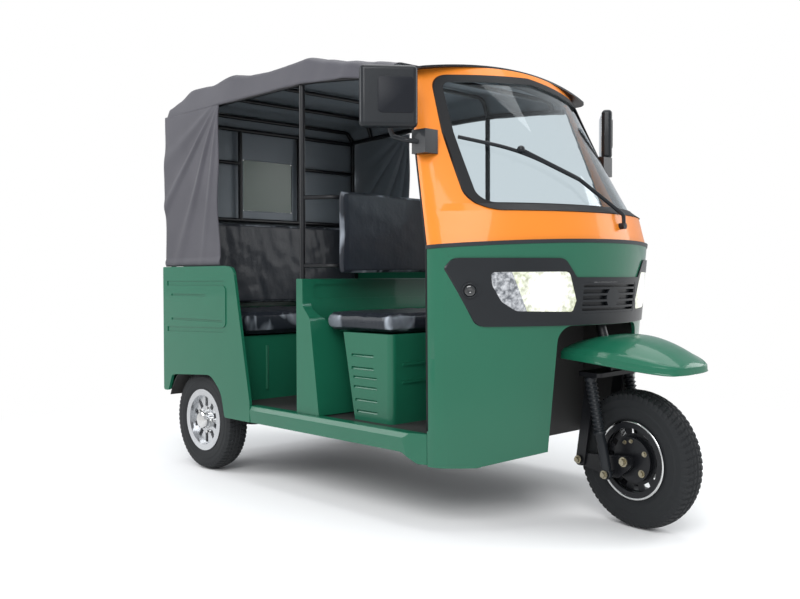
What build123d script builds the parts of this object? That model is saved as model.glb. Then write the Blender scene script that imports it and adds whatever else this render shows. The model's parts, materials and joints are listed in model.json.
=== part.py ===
from build123d import *
import math
import os

# A three-wheeled auto rickshaw: one steered wheel in front, two wheels behind, an open cab
# with a driver's seat and a passenger bench, and a canvas top on a tube frame.
# Millimetres. +X forward, +Y to the vehicle's left, +Z up. While it is modelled, X = 0 is
# the front axle and Z = 0 is the ground; write() moves it to the middle of its length.

# Running gear
WHEELBASE = 2043
REAR_OVERHANG = 302
TRACK_HALF = 557
FRONT_TYRE_R = 258
FRONT_TYRE_W = 104
REAR_TYRE_R = 242
REAR_TYRE_W = 112
BEAD_R = 128
RIM_LIP_R = 149
STEER_AT_REST = -8
RAKE = 18
STEER_X = -130
STEER_Z = 620

# Body
BODY_HALF = 648
SKIN = 14
FLOOR_TOP = 355
FLOOR_PLATE = 10
SILL_BOTTOM = 284
SILL_W = 48
PANEL_TOP = 990
REAR_SKIRT_Z = 368
GAP = 0.4

# Roof
TUBE_R = 12.5
RAIL_HALF = 603
CANVAS = 4

X_REAR_AXLE = -WHEELBASE
X_BACK = X_REAR_AXLE - REAR_OVERHANG
FRONT_REACH = FRONT_TYRE_R - 1.6
MIDDLE = (X_BACK + FRONT_REACH) / 2

os.makedirs("parts", exist_ok=True)


def write(name, shape):
    """One sub-part, moved so that X = 0 is the middle of the vehicle's length."""
    export_step(Pos(-MIDDLE, 0, 0) * shape, f"parts/{name}.step")


def block(x0, x1, y0, y1, z0, z1):
    """A plain box between three pairs of limits."""
    centre = Pos((x0 + x1) / 2, (y0 + y1) / 2, (z0 + z1) / 2)
    return centre * Box(abs(x1 - x0), abs(y1 - y0), abs(z1 - z0))


def rounded(corners):
    """A flat outline from rows of (first, second, radius); a radius of 0 stays sharp."""
    points = [(row[0], row[1]) for row in corners]
    face = Polygon(*points, align=None)
    for row in corners:
        if row[2]:
            corner = face.vertices().sort_by_distance((row[0], row[1], 0))[0]
            face = fillet(corner, row[2])
    return face


def side_prism(corners, y0, y1):
    """An outline in side view, rows of (x, z, radius), drawn out from y0 to y1."""
    face = Plane.XZ.offset(-y1) * rounded(corners)
    return extrude(face, amount=y1 - y0, dir=(0, -1, 0))


def front_prism(corners, x0, x1):
    """An outline in front view, rows of (y, z, radius), drawn out from x0 to x1."""
    return extrude(Plane.YZ.offset(x0) * rounded(corners), amount=x1 - x0, dir=(1, 0, 0))


def plan_prism(corners, z0, z1):
    """An outline seen from above, rows of (x, y, radius), drawn out from z0 to z1."""
    return extrude(Plane.XY.offset(z0) * rounded(corners), amount=z1 - z0, dir=(0, 0, 1))


def rod(start, end, radius):
    """A round bar between two points."""
    axis = Vector(*end) - Vector(*start)
    return extrude(Plane(origin=start, z_dir=axis) * Circle(radius), amount=axis.length)


def tube(points, bends, radius):
    """A round tube along straight runs joined by arcs."""
    path = FilletPolyline(*points, radius=bends)
    section = Plane(origin=path @ 0, z_dir=path % 0) * Circle(radius)
    return sweep(section, path=path)


def other_side(shape):
    """The same piece on the other side of the vehicle."""
    return mirror(shape, about=Plane.XZ)


def both_sides(shape):
    """A piece and its mirror image, as one shape."""
    return shape + other_side(shape)


# Cowl sections, seen from above: (z, trailing edge x, half width, nose x, corner radius)
TRAIL_SLOPE = 0.328
HALF_SLOPE = 0.18
COWL_BOTTOM_Z = 240
BELT_Z = 1050
LEDGE_Z = 1175
GLASS_Z = 1203
COWL_TOP_Z = 1780
BELT_TRAIL_X = -481
BELT_HALF = 641
LOWER_TRAIL_X = -500
LOWER_HALF = 615


def trail_x(z):
    """Where the cowl's trailing edge is at a height above the belt."""
    return BELT_TRAIL_X - TRAIL_SLOPE * (z - BELT_Z)


def half_width(z):
    """Half the cowl's width at a height above the belt."""
    return BELT_HALF - HALF_SLOPE * (z - BELT_Z)


LOWER_SECTIONS = [
    (COWL_BOTTOM_Z, LOWER_TRAIL_X, LOWER_HALF, -187, 100),
    (BELT_Z, BELT_TRAIL_X, BELT_HALF, -100, 120),
]
UPPER_SECTIONS = [
    (BELT_Z, trail_x(BELT_Z), half_width(BELT_Z), -100, 120),
    (LEDGE_Z, trail_x(LEDGE_Z), half_width(LEDGE_Z), -125, 100),
    (GLASS_Z, trail_x(GLASS_Z), half_width(GLASS_Z), -175, 100),
    (COWL_TOP_Z, trail_x(COWL_TOP_Z), half_width(COWL_TOP_Z), -552, 60),
]


def between(low, high, z):
    """A section at height z on the straight line through two others."""
    share = (z - low[0]) / (high[0] - low[0])
    return tuple(a + (b - a) * share for a, b in zip(low, high))


def cowl_outline(section, inset, back):
    """One section as a face: a nose arc, two corner arcs and side lines run back from them."""
    z, trail, half, nose, corner = section
    depth = trail - nose
    nose_r = (2 * half * corner - depth**2 - half**2) / (2 * (depth + corner))
    centre_x = nose - nose_r
    corner_y = half - corner
    length = math.hypot(trail - centre_x, corner_y)
    ux = (trail - centre_x) / length
    uy = corner_y / length
    outer_r = nose_r - inset
    small_r = corner - inset
    mid = math.atan2(uy, ux)
    turn = (math.pi / 2 + mid) / 2
    join = (centre_x + outer_r * ux, outer_r * uy)
    bulge = (trail + small_r * math.cos(turn), corner_y + small_r * math.sin(turn))
    start = (trail, half - inset)
    edges = [
        Line((back, -start[1]), (trail, -start[1])),
        ThreePointArc((trail, -start[1]), (bulge[0], -bulge[1]), (join[0], -join[1])),
        ThreePointArc((join[0], -join[1]), (nose - inset, 0), join),
        ThreePointArc(join, bulge, start),
        Line(start, (back, start[1])),
        Line((back, start[1]), (back, -start[1])),
    ]
    return Plane.XY.offset(z) * make_face(edges)


def cowl_solid(sections, inset, run_back):
    """The cowl filled in, from its sections taken in pairs with straight sides between."""
    whole = None
    for low, high in zip(sections, sections[1:]):
        faces = [cowl_outline(s, inset, s[1] - run_back) for s in (low, high)]
        piece = loft(faces, ruled=True)
        whole = piece if whole is None else whole + piece
    return whole


# The belt is a level line at the sides that rises a little towards the nose.
BELT_SIDE_Z = 1044
BELT_RISE = math.degrees(math.atan(26 / 381))
SEAM_H = 14
SEAM_PROUD = 3

BELT_PLANE = Pos(BELT_TRAIL_X, 0, BELT_SIDE_Z) * Rot(0, -BELT_RISE, 0)
REACH = 1600


def below_belt(drop):
    """All that lies lower than the belt line, less a drop."""
    return BELT_PLANE * Pos(0, 0, -REACH / 2 - drop) * Box(2 * REACH, 2 * REACH, REACH)


def above_belt(rise):
    """All that lies higher than the belt line, plus a rise."""
    return BELT_PLANE * Pos(0, 0, REACH / 2 + rise) * Box(2 * REACH, 2 * REACH, REACH)


lower_high = between(*LOWER_SECTIONS, BELT_Z + 40)
upper_low = between(UPPER_SECTIONS[0], UPPER_SECTIONS[1], BELT_Z - 30)
lower_run = [LOWER_SECTIONS[0], lower_high]
upper_run = [upper_low] + UPPER_SECTIONS[1:]

EDGE_RUN = 6
THROUGH_RUN = 40
lower_full = cowl_solid(lower_run, 0, EDGE_RUN)
upper_full = cowl_solid(upper_run, 0, EDGE_RUN)
lower_room = cowl_solid(lower_run, SKIN, THROUGH_RUN)
upper_room = cowl_solid(upper_run, SKIN, THROUGH_RUN)

# Wheel opening in the nose, and the bottom edge that rises towards it
WHEEL_WELL_HALF = 262
WHEEL_WELL_TOP = 755
WHEEL_WELL_BACK = -430
WELL_EDGE_R = 60
well_opening = front_prism(
    [
        (-WHEEL_WELL_HALF, 100, 0),
        (WHEEL_WELL_HALF, 100, 0),
        (WHEEL_WELL_HALF, WHEEL_WELL_TOP, WELL_EDGE_R),
        (-WHEEL_WELL_HALF, WHEEL_WELL_TOP, WELL_EDGE_R),
    ],
    -480,
    0,
)
UNDERCUT = side_prism(
    [(-360, 150, 0), (0, 150, 0), (0, 345, 0), (-205, 292, 0), (-360, 241, 0)], -700, 700
)

cowl_lower = (lower_full - lower_room) & below_belt(SEAM_H / 2)
cowl_lower = cowl_lower - well_opening - UNDERCUT

# Windscreen opening in front view: (y, z, radius)
SCREEN_BOTTOM = 1177
SCREEN_OUTLINE = [
    (-528, SCREEN_BOTTOM, 75),
    (528, SCREEN_BOTTOM, 75),
    (505, 1480, 0),
    (470, 1712, 70),
    (0, 1752, 0),
    (-470, 1712, 70),
    (-505, 1480, 0),
]
SEAL_W = 30
SEAL_PROUD = 7


def screen_cut(shrink):
    """The windscreen's outline drawn through the cowl, made smaller all round."""
    face = Plane.YZ.offset(-800) * rounded(SCREEN_OUTLINE)
    if shrink:
        face = Plane.YZ.offset(-800) * offset(rounded(SCREEN_OUTLINE), amount=-shrink)
    return extrude(face, amount=800, dir=(1, 0, 0))


# The cowl's top edge follows the crown of the roof.
CROWN_R = 2900
CROWN_TOP = 1776
crown_cut = Pos(-700, 0, CROWN_TOP - CROWN_R) * Rot(0, 90, 0) * Cylinder(CROWN_R, 1400)

upper_shell = (upper_full - upper_room) & above_belt(SEAM_H / 2)
upper_shell = upper_shell & crown_cut
cowl_upper = upper_shell - screen_cut(0)

seal_outer = cowl_solid(upper_run, -SEAL_PROUD, EDGE_RUN)
seal_outer = seal_outer - cowl_solid(upper_run, SKIN + 4, THROUGH_RUN)
windscreen_seal = (seal_outer & screen_cut(GAP)) - screen_cut(SEAL_W)
GLASS_T = 5
glass_shell = cowl_solid(upper_run, 2, EDGE_RUN)
glass_shell = glass_shell - cowl_solid(upper_run, 2 + GLASS_T, THROUGH_RUN)
windscreen_glass = glass_shell & screen_cut(SEAL_W + GAP)

seam_slab = below_belt(-SEAM_H / 2 + GAP) & above_belt(-SEAM_H / 2 + GAP)
belt_ring = cowl_solid(lower_run, -SEAM_PROUD, EDGE_RUN) - lower_room
belt_seam = belt_ring & seam_slab


# Head lamp mask: a black band that wraps round the nose, (y, z, radius) in front view
MASK_PROUD = 6
LAMP_DEPTH = 60
INDICATOR_Y = 556
INDICATOR_Z = 887
INDICATOR_R = 23
MASK_OUTLINE = [
    (-535, 757, 35),
    (-621, 968, 24),
    (-602, 1004, 20),
    (-265, 1004, 45),
    (-207, 934, 12),
    (207, 934, 12),
    (265, 1004, 45),
    (602, 1004, 20),
    (621, 968, 24),
    (535, 757, 35),
]
LAMP_OUTLINE = [
    (509, 953, 12),
    (240, 955, 25),
    (199, 848, 8),
    (212, 807, 14),
    (425, 812, 40),
    (472, 846, 40),
    (502, 905, 40),
]
GRILLE_HALF = 180
GRILLE_LOW = 800
GRILLE_HIGH = 916
GRILLE_OUTLINE = [
    (-GRILLE_HALF, GRILLE_LOW, 14),
    (GRILLE_HALF, GRILLE_LOW, 14),
    (GRILLE_HALF, GRILLE_HIGH, 14),
    (-GRILLE_HALF, GRILLE_HIGH, 14),
]


def nose_band(outer, inner):
    """The lower cowl's skin between two distances outside its face."""
    return cowl_solid(lower_run, -outer, EDGE_RUN) - cowl_solid(lower_run, -inner, THROUGH_RUN)


def nose_cut(outline, shrink=0):
    """An outline in front view drawn back through the nose, made smaller all round."""
    face = rounded(outline)
    if shrink:
        face = offset(face, amount=-shrink)
    return extrude(Plane.YZ.offset(-460) * face, amount=460, dir=(1, 0, 0))


lamp_cut = nose_cut(LAMP_OUTLINE)
lamp_cuts = both_sides(lamp_cut)
grille_cut = nose_cut(GRILLE_OUTLINE)
cowl_lower = cowl_lower - lamp_cuts - grille_cut
headlamp_mask = (nose_band(MASK_PROUD, GAP) & nose_cut(MASK_OUTLINE)) - lamp_cuts - grille_cut
headlamp_left = nose_band(4, -LAMP_DEPTH) & nose_cut(LAMP_OUTLINE, GAP)
headlamp_right = other_side(headlamp_left)

# Grille: a frame, level slats and a bare round boss in the middle
GRILLE_FRAME = 9
GRILLE_SLATS = 4
SLAT_H = 8
BOSS_R = 40
grille_skin = nose_band(MASK_PROUD - 1, -SKIN) & nose_cut(GRILLE_OUTLINE, GAP)
slats = nose_cut(GRILLE_OUTLINE, GAP) - nose_cut(GRILLE_OUTLINE, GAP + GRILLE_FRAME)
slat_pitch = (GRILLE_HIGH - GRILLE_LOW) / (GRILLE_SLATS + 1)
for row in range(GRILLE_SLATS):
    slat_z = GRILLE_LOW + slat_pitch * (row + 1)
    slats = slats + block(-460, 0, -GRILLE_HALF, GRILLE_HALF, slat_z - SLAT_H / 2, slat_z + SLAT_H / 2)
boss_z = (GRILLE_LOW + GRILLE_HIGH) / 2
slats = slats + rod((-460, 0, boss_z), (0, 0, boss_z), BOSS_R)
grille = grille_skin & slats
GRILLE_BACK = 3
grille = grille + (nose_band(GRILLE_BACK - SKIN, -SKIN) & nose_cut(GRILLE_OUTLINE, GAP))

indicator = rod((-460, INDICATOR_Y, INDICATOR_Z), (0, INDICATOR_Y, INDICATOR_Z), INDICATOR_R)
headlamp_mask = headlamp_mask + (nose_band(MASK_PROUD + 4, GAP) & both_sides(indicator))

write("cowl_lower", cowl_lower)
write("cowl_upper", cowl_upper)
write("windscreen_seal", windscreen_seal)
write("windscreen_glass", windscreen_glass)
write("belt_seam", belt_seam)
write("headlamp_mask", headlamp_mask)
write("headlamp_left", headlamp_left)
write("headlamp_right", headlamp_right)
write("grille", grille)

# Roof visor over the windscreen: a curved lip that follows the crown
VISOR_T = 8
VISOR_NOSE_X = -557
VISOR_END_X = -664
VISOR_HALF = 556
VISOR_BACK_X = -745
visor_section = (0, VISOR_END_X, VISOR_HALF, VISOR_NOSE_X, 55)
visor_plan = cowl_outline(visor_section, 0, VISOR_BACK_X)
visor_low = CROWN_TOP + GAP
visor_crown = Pos(VISOR_BACK_X, 0, visor_low - CROWN_R) * Rot(0, 90, 0)
visor_shell = visor_crown * (Cylinder(CROWN_R + VISOR_T, 400) - Cylinder(CROWN_R, 400))
roof_visor = extrude(Plane.XY.offset(1600) * visor_plan, amount=300, dir=(0, 0, 1)) & visor_shell
write("roof_visor", roof_visor)

# Steering axis
RAKE_T = math.tan(math.radians(RAKE))


def steer_x(z):
    """Where the steering axis is at a height."""
    return STEER_X - (z - STEER_Z) * RAKE_T


def steer_rod(z0, z1, radius):
    """A round piece along the steering axis."""
    return rod((steer_x(z0), 0, z0), (steer_x(z1), 0, z1), radius)


STEM_R = 20
HEAD_R = 27
HEAD_LOW = 764
HEAD_HIGH = 900
BEAM_HALF = 35
BEAM_TOP = 830
BEAM_LOW = 768
BEAM_BACK = -505
BEAM_FRONT = -442
RAIL_Y = 300
RAIL_W = 40
RAIL_LOW = 290
RAIL_HIGH = 340
CROSS_W = 50

head_tube = steer_rod(HEAD_LOW, HEAD_HIGH, HEAD_R)
head_bore = steer_rod(HEAD_LOW - 50, HEAD_HIGH + 50, STEM_R + GAP)
neck = side_prism(
    [
        (BEAM_BACK, RAIL_LOW, 0),
        (BEAM_FRONT, RAIL_LOW, 0),
        (BEAM_FRONT, BEAM_LOW, 0),
        (steer_x(BEAM_LOW), BEAM_LOW, 0),
        (steer_x(BEAM_TOP), BEAM_TOP, 0),
        (BEAM_BACK, BEAM_TOP, 25),
    ],
    -BEAM_HALF,
    BEAM_HALF,
)
ENGINE_BACK = -955
ENGINE_FRONT = -790
ENGINE_HALF = 200
ENGINE_LOW = 262
ENGINE_HIGH = 600
FLOOR_HALF = BODY_HALF - SILL_W - GAP
ARCH_R = 284
ARCH_SKIN = 6
ARCH_INNER = 478
REAR_FLOOR_HALF = ARCH_INNER - ARCH_SKIN - GAP
BENCH_FRONT_X = -1760
# Cross members: (centre x, half length)
CROSS_MEMBERS = [
    (-475, RAIL_Y),
    (-720, FLOOR_HALF),
    (-1190, FLOOR_HALF),
    (-1600, FLOOR_HALF),
    (X_BACK + 45, REAR_FLOOR_HALF),
]
chassis = neck + head_tube
for side in (-1, 1):
    rail_y = side * RAIL_Y
    chassis = chassis + block(
        X_BACK + 20, BEAM_FRONT - 8, rail_y - RAIL_W / 2, rail_y + RAIL_W / 2, RAIL_LOW, RAIL_HIGH
    )
for cross_x, reach in CROSS_MEMBERS:
    chassis = chassis + block(
        cross_x - CROSS_W / 2, cross_x + CROSS_W / 2, -reach, reach, RAIL_LOW, RAIL_HIGH
    )
chassis = chassis - head_bore

# Leaf spring hangers, and a bored tongue behind the rear cross member for a towing eye
SPRING_HALF = 258
SPRING_Y = 352
SPRING_W = 40
SPRING_T = 16
SPRING_LOW_Z = 196
SPRING_EYE_Z = 262
HANGER_W = 30
HANGER_T = 10
TOW_R = 9
TOW_Z = 258
for end in (-1, 1):
    eye_x = X_REAR_AXLE + end * SPRING_HALF
    hanger = block(
        eye_x - HANGER_W / 2,
        eye_x + HANGER_W / 2,
        RAIL_Y + RAIL_W / 2 - 5,
        RAIL_Y + RAIL_W / 2 + 5,
        SPRING_EYE_Z - 18,
        RAIL_LOW + 10,
    )
    chassis = chassis + both_sides(hanger)
tow_tongue = block(X_BACK + 15, X_BACK + 60, -20, 20, TOW_Z - 22, RAIL_LOW)
tow_bore = rod((X_BACK, 0, TOW_Z), (X_BACK + 80, 0, TOW_Z), TOW_R)
chassis = (chassis + tow_tongue) - tow_bore
write("chassis_frame", chassis)

# Wheel housing in the nose: two sides, a back and a top, open in front and below
WELL_SKIN = 6
room_for_trim = cowl_solid(lower_run, SKIN + GAP, THROUGH_RUN)
housing = block(
    WHEEL_WELL_BACK - WELL_SKIN,
    0,
    -WHEEL_WELL_HALF - WELL_SKIN,
    WHEEL_WELL_HALF + WELL_SKIN,
    FLOOR_TOP - FLOOR_PLATE - 60,
    WHEEL_WELL_TOP + WELL_SKIN,
)
housing = housing - block(
    WHEEL_WELL_BACK, 100, -WHEEL_WELL_HALF, WHEEL_WELL_HALF, 0, WHEEL_WELL_TOP
)
wheel_housing = (housing & room_for_trim) - steer_rod(600, 950, HEAD_R + GAP)
write("wheel_housing", wheel_housing)

# Floor: full width between the sills, narrower between the rear wheel arches
FLOOR_FRONT_X = WHEEL_WELL_BACK - WELL_SKIN - GAP
floor_low = FLOOR_TOP - FLOOR_PLATE
NOSE_FLOOR_X = -520
floor_pan = block(BENCH_FRONT_X - 8, NOSE_FLOOR_X, -FLOOR_HALF, FLOOR_HALF, floor_low, FLOOR_TOP)
floor_pan = floor_pan + block(
    X_BACK + SKIN + GAP,
    BENCH_FRONT_X - 8,
    -REAR_FLOOR_HALF,
    REAR_FLOOR_HALF,
    floor_low,
    FLOOR_TOP,
)
nose_floor = block(NOSE_FLOOR_X, -150, -700, 700, floor_low, FLOOR_TOP)
nose_floor = nose_floor & cowl_solid(lower_run, SKIN + 2, 60)
well_clear = WHEEL_WELL_HALF + WELL_SKIN + GAP
nose_floor = nose_floor - block(FLOOR_FRONT_X, 0, -well_clear, well_clear, 0, 800)
sill_end_room = block(NOSE_FLOOR_X - 1, LOWER_TRAIL_X - EDGE_RUN, FLOOR_HALF, 700, 300, 400)
nose_floor = nose_floor - both_sides(sill_end_room)
floor_pan = floor_pan + nose_floor
floor_pan = floor_pan - block(
    BEAM_BACK - GAP, BEAM_FRONT + GAP, -BEAM_HALF - GAP, BEAM_HALF + GAP, 300, 400
)
floor_pan = floor_pan - block(
    ENGINE_BACK - 6, ENGINE_FRONT + 6, -ENGINE_HALF - 6, ENGINE_HALF + 6, 300, 400
)
write("floor_pan", floor_pan)
engine = block(ENGINE_BACK, ENGINE_FRONT, -ENGINE_HALF, ENGINE_HALF, ENGINE_LOW, ENGINE_HIGH)
engine = fillet(engine.edges().filter_by(Axis.Z), 20)
engine_ear = block(
    ENGINE_BACK + 60,
    ENGINE_BACK + 100,
    ENGINE_HALF - 20,
    RAIL_Y - RAIL_W / 2 - GAP,
    RAIL_LOW + 5,
    RAIL_HIGH - 5,
)
engine = engine + both_sides(engine_ear)
write("engine_block", engine)

# Sills, which turn in and down to meet the cowl
SILL_TOP = 359
PANEL_FRONT_X = -1591
sill_inner = BODY_HALF - SILL_W
SILL_END_X = LOWER_TRAIL_X - EDGE_RUN - 1
sill_section = [
    (sill_inner, SILL_BOTTOM, 0),
    (BODY_HALF - 6, SILL_BOTTOM, 6),
    (BODY_HALF, SILL_TOP - 22, 8),
    (BODY_HALF - 8, SILL_TOP, 6),
    (sill_inner, SILL_TOP, 0),
]
sill_side = [
    (PANEL_FRONT_X + 0.6, SILL_BOTTOM, 0),
    (-612, SILL_BOTTOM, 60),
    (-545, 246, 30),
    (SILL_END_X, 246, 0),
    (SILL_END_X, SILL_TOP, 0),
    (PANEL_FRONT_X + 0.6, SILL_TOP, 0),
]
sill_plan = [
    (PANEL_FRONT_X + 0.6, sill_inner, 0),
    (SILL_END_X, sill_inner, 0),
    (SILL_END_X, LOWER_HALF + 2, 0),
    (-600, BODY_HALF, 120),
    (PANEL_FRONT_X + 0.6, BODY_HALF, 0),
]
low_section = [(row[0], 240 if row[1] == SILL_BOTTOM else row[1], row[2]) for row in sill_section]
sill = front_prism(low_section, PANEL_FRONT_X + 0.6, SILL_END_X)
sill = sill & side_prism(sill_side, 0, 700) & plan_prism(sill_plan, 200, 400)
write("sill_left", sill)
write("sill_right", other_side(sill))

# Side panels behind the passenger doorway, with the wheel arch and a pressed rectangle
PRESS_DEPTH = 4
ARCH_TOP_Z = 474
panel_outline = [
    (X_BACK, REAR_SKIRT_Z, 12),
    (X_BACK + 42, REAR_SKIRT_Z, 12),
    (X_REAR_AXLE - 220, 452, 30),
    (X_REAR_AXLE + 131, ARCH_TOP_Z, 90),
    (X_REAR_AXLE + 220, 400, 120),
    (X_REAR_AXLE + 249, SILL_BOTTOM, 14),
    (PANEL_FRONT_X, SILL_BOTTOM, 0),
    (PANEL_FRONT_X, SILL_TOP + 14, 20),
    (-1716, PANEL_TOP - 10, 44),
    (-1775, PANEL_TOP, 30),
    (X_BACK, PANEL_TOP, 8),
]
side_panel = side_prism(panel_outline, BODY_HALF - SKIN, BODY_HALF)
pressing = [
    (X_BACK - 20, 665, 0),
    (-1758, 681, 40),
    (-1757, 921, 40),
    (X_BACK - 20, 919, 0),
]
pressed = side_prism(pressing, BODY_HALF - PRESS_DEPTH, BODY_HALF + 1)
inner_pressing = [
    (X_BACK - 20, 689, 0),
    (-1782, 703, 26),
    (-1781, 898, 26),
    (X_BACK - 20, 896, 0),
]
pressed = pressed - side_prism(inner_pressing, BODY_HALF - 10, BODY_HALF + 2)
pressed = pressed & block(X_BACK + 40, 0, 0, 700, 0, 1000)
for groove_z, groove_end in ((851, -1954), (731, -1808)):
    pressed = pressed + block(
        X_BACK + 80, groove_end, BODY_HALF - PRESS_DEPTH, BODY_HALF + 1, groove_z - 5, groove_z + 5
    )
side_panel = side_panel - pressed
write("side_panel_left", side_panel)
write("side_panel_right", other_side(side_panel))

# Rear panel with its tail lamps
REAR_HALF = BODY_HALF - SKIN - GAP
LAMP_Y0 = 500
LAMP_Y1 = 590
LAMP_Z0 = 610
LAMP_Z1 = 800
rear_panel = block(X_BACK, X_BACK + SKIN, -REAR_HALF, REAR_HALF, REAR_SKIRT_Z, PANEL_TOP)
for rib_z in (480, 900):
    rear_panel = rear_panel - block(
        X_BACK - 1, X_BACK + PRESS_DEPTH, -REAR_HALF + 60, REAR_HALF - 60, rib_z - 6, rib_z + 6
    )
tail_outline = [
    (LAMP_Y0, LAMP_Z0, 18),
    (LAMP_Y1, LAMP_Z0, 18),
    (LAMP_Y1, LAMP_Z1, 18),
    (LAMP_Y0, LAMP_Z1, 18),
]
tail_hole = front_prism(tail_outline, X_BACK - 10, X_BACK + 60)
rear_panel = rear_panel - both_sides(tail_hole)
tail_face = offset(rounded(tail_outline), amount=-GAP)
tail_lamp = extrude(Plane.YZ.offset(X_BACK + 1) * tail_face, amount=SKIN - 2, dir=(1, 0, 0))
write("rear_panel", rear_panel)
write("tail_lamps", both_sides(tail_lamp))

# Rear wheel arches inside the body
arch_top = Pos(X_REAR_AXLE, (ARCH_INNER + REAR_HALF) / 2 - ARCH_SKIN / 2, REAR_TYRE_R)
arch_width = REAR_HALF - ARCH_INNER + ARCH_SKIN
arch = arch_top * Rot(90, 0, 0) * Cylinder(ARCH_R, arch_width)
arch_room = Pos(X_REAR_AXLE, (ARCH_INNER + 800) / 2, REAR_TYRE_R) * Rot(90, 0, 0)
arch = arch - arch_room * Cylinder(ARCH_R - ARCH_SKIN, 800 - ARCH_INNER)
arch = arch & block(X_BACK, -1000, 0, 700, floor_low, 700)
write("rear_wheel_arches", both_sides(arch))

# Partition behind the driver: tapered pillars joined by a panel that bulges out below
PARTITION_HALF = 622
PARTITION_TOP = 930
UPPER_FACE_X = -1235
BULGE_Z = 790
partition_outline = [
    (-1277, SILL_TOP + GAP, 0),
    (-1128, SILL_TOP + GAP, 0),
    (-1185, 762, 40),
    (UPPER_FACE_X, 815, 40),
    (UPPER_FACE_X, PARTITION_TOP, 6),
    (-1277, PARTITION_TOP, 6),
]
partition = side_prism(partition_outline, -PARTITION_HALF, PARTITION_HALF)
cut_out = front_prism(
    [(-585, 1000, 0), (-575, 790, 40), (-480, 705, 90), (480, 705, 90), (575, 790, 40), (585, 1000, 0)],
    UPPER_FACE_X,
    -1000,
)
partition = partition - cut_out
FLUTE_R = 16
for flute_y in (545, 250, 0, -250, -545):
    flute = rod((-1122, flute_y, 400), (-1160, flute_y, 670), FLUTE_R)
    partition = partition - Pos(8, 0, 0) * flute
recess = front_prism(
    [(-560, 845, 12), (560, 845, 12), (560, 905, 12), (-560, 905, 12)], UPPER_FACE_X - 5, -1100
)
partition = partition - recess
write("partition", partition)

# Driver's seat box: open below over the engine, with a slanted back edge and louvres
BOX_HALF = 550
BOX_TOP = 710
BOX_FRONT = -765
BOX_WALL = 8
box_outline = [
    (-982, FLOOR_TOP + GAP, 0),
    (BOX_FRONT, FLOOR_TOP + GAP, 0),
    (BOX_FRONT, BOX_TOP, 0),
    (-1053, BOX_TOP, 0),
]
seat_box = side_prism(box_outline, -BOX_HALF, BOX_HALF)
front_edges = seat_box.edges().filter_by(Axis.Z).sort_by(Axis.X)[-2:]
seat_box = fillet(front_edges, 26)
box_room = [
    (-982 + BOX_WALL, 0, 0),
    (BOX_FRONT - BOX_WALL, 0, 0),
    (BOX_FRONT - BOX_WALL, BOX_TOP - BOX_WALL, 0),
    (-1053 + BOX_WALL, BOX_TOP - BOX_WALL, 0),
    (-982 + BOX_WALL, FLOOR_TOP, 0),
]
seat_box = seat_box - side_prism(box_room, -BOX_HALF + BOX_WALL, BOX_HALF - BOX_WALL)
# Louvre openings in the box's sides: (back x, front x, low z, high z)
LOUVRES = [
    (-1003, -870, 560, 572),
    (-1003, -870, 612, 624),
    (-992, -851, 524, 534),
    (-990, -851, 484, 495),
    (-980, -848, 432, 443),
    (-970, -847, 386, 397),
]
for back_x, front_x, low_z, high_z in LOUVRES:
    for side in (-1, 1):
        seat_box = seat_box - block(
            back_x, front_x, side * (BOX_HALF - 20), side * (BOX_HALF + 5), low_z, high_z
        )
for step_z in (520, 590):
    seat_box = seat_box + block(
        BOX_FRONT - 2, BOX_FRONT + 5, -BOX_HALF + 60, BOX_HALF - 60, step_z - 5, step_z + 5
    )
write("driver_seat_box", seat_box)


def pad(x0, x1, half, z0, z1, radius):
    """A plain cushion with rounded upright corners and rounded upper edges."""
    soft = block(x0, x1, -half, half, z0, z1)
    soft = fillet(soft.edges().filter_by(Axis.Z), radius)
    return fillet(soft.faces().sort_by(Axis.Z)[-1].edges(), radius * 0.6)


write("driver_cushion", pad(-1165, BOX_FRONT, 560, BOX_TOP + GAP, 800, 30))
back_rest = block(-1128, -1078, -530, 530, 950, 1300)
back_rest = fillet(back_rest.edges().filter_by(Axis.X), 30)
write("driver_backrest", back_rest)

# Passenger bench
BENCH_TOP = 660
BENCH_HALF = REAR_HALF - 14
BENCH_PLATE = 8
bench = block(
    BENCH_FRONT_X - BENCH_PLATE, BENCH_FRONT_X, -BENCH_HALF, BENCH_HALF, FLOOR_TOP + GAP, BENCH_TOP
)
bench = bench + block(
    X_BACK + SKIN + GAP, BENCH_FRONT_X, -BENCH_HALF, BENCH_HALF, BENCH_TOP - BENCH_PLATE, BENCH_TOP
)
for rib in range(-2, 3):
    rib_y = rib * 215
    bead = rod((BENCH_FRONT_X, rib_y, 400), (BENCH_FRONT_X, rib_y, 610), 8)
    bench = bench + bead
write("rear_seat_box", bench)
write("rear_cushion", pad(-2205, -1722, 578, BENCH_TOP + GAP, 785, 34))
rear_back = side_prism(
    [
        (X_BACK + SKIN + GAP, 790, 10),
        (-2212, 790, 20),
        (-2240, 1232, 24),
        (-2312, 1232, 14),
        (X_BACK + SKIN + GAP, 985, 0),
    ],
    -578,
    578,
)
write("rear_backrest", rear_back)

# Roof frame: two rails, four bows, six posts and the bars of the rear wall
POST_B_X = -1256
POST_C_X = -1887
POST_D_X = X_BACK + TUBE_R + SKIN + 2
BOW_BEND = 60
REAR_BAR_Z = 1728
rail_path = [
    (POST_D_X, RAIL_HALF, 1738),
    (-1880, RAIL_HALF, 1756),
    (-1200, RAIL_HALF, 1758),
    (-880, 578, 1730),
    (-710, 506, 1702),
]
roof = both_sides(tube(rail_path, [2500, 900, 500], TUBE_R))
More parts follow.
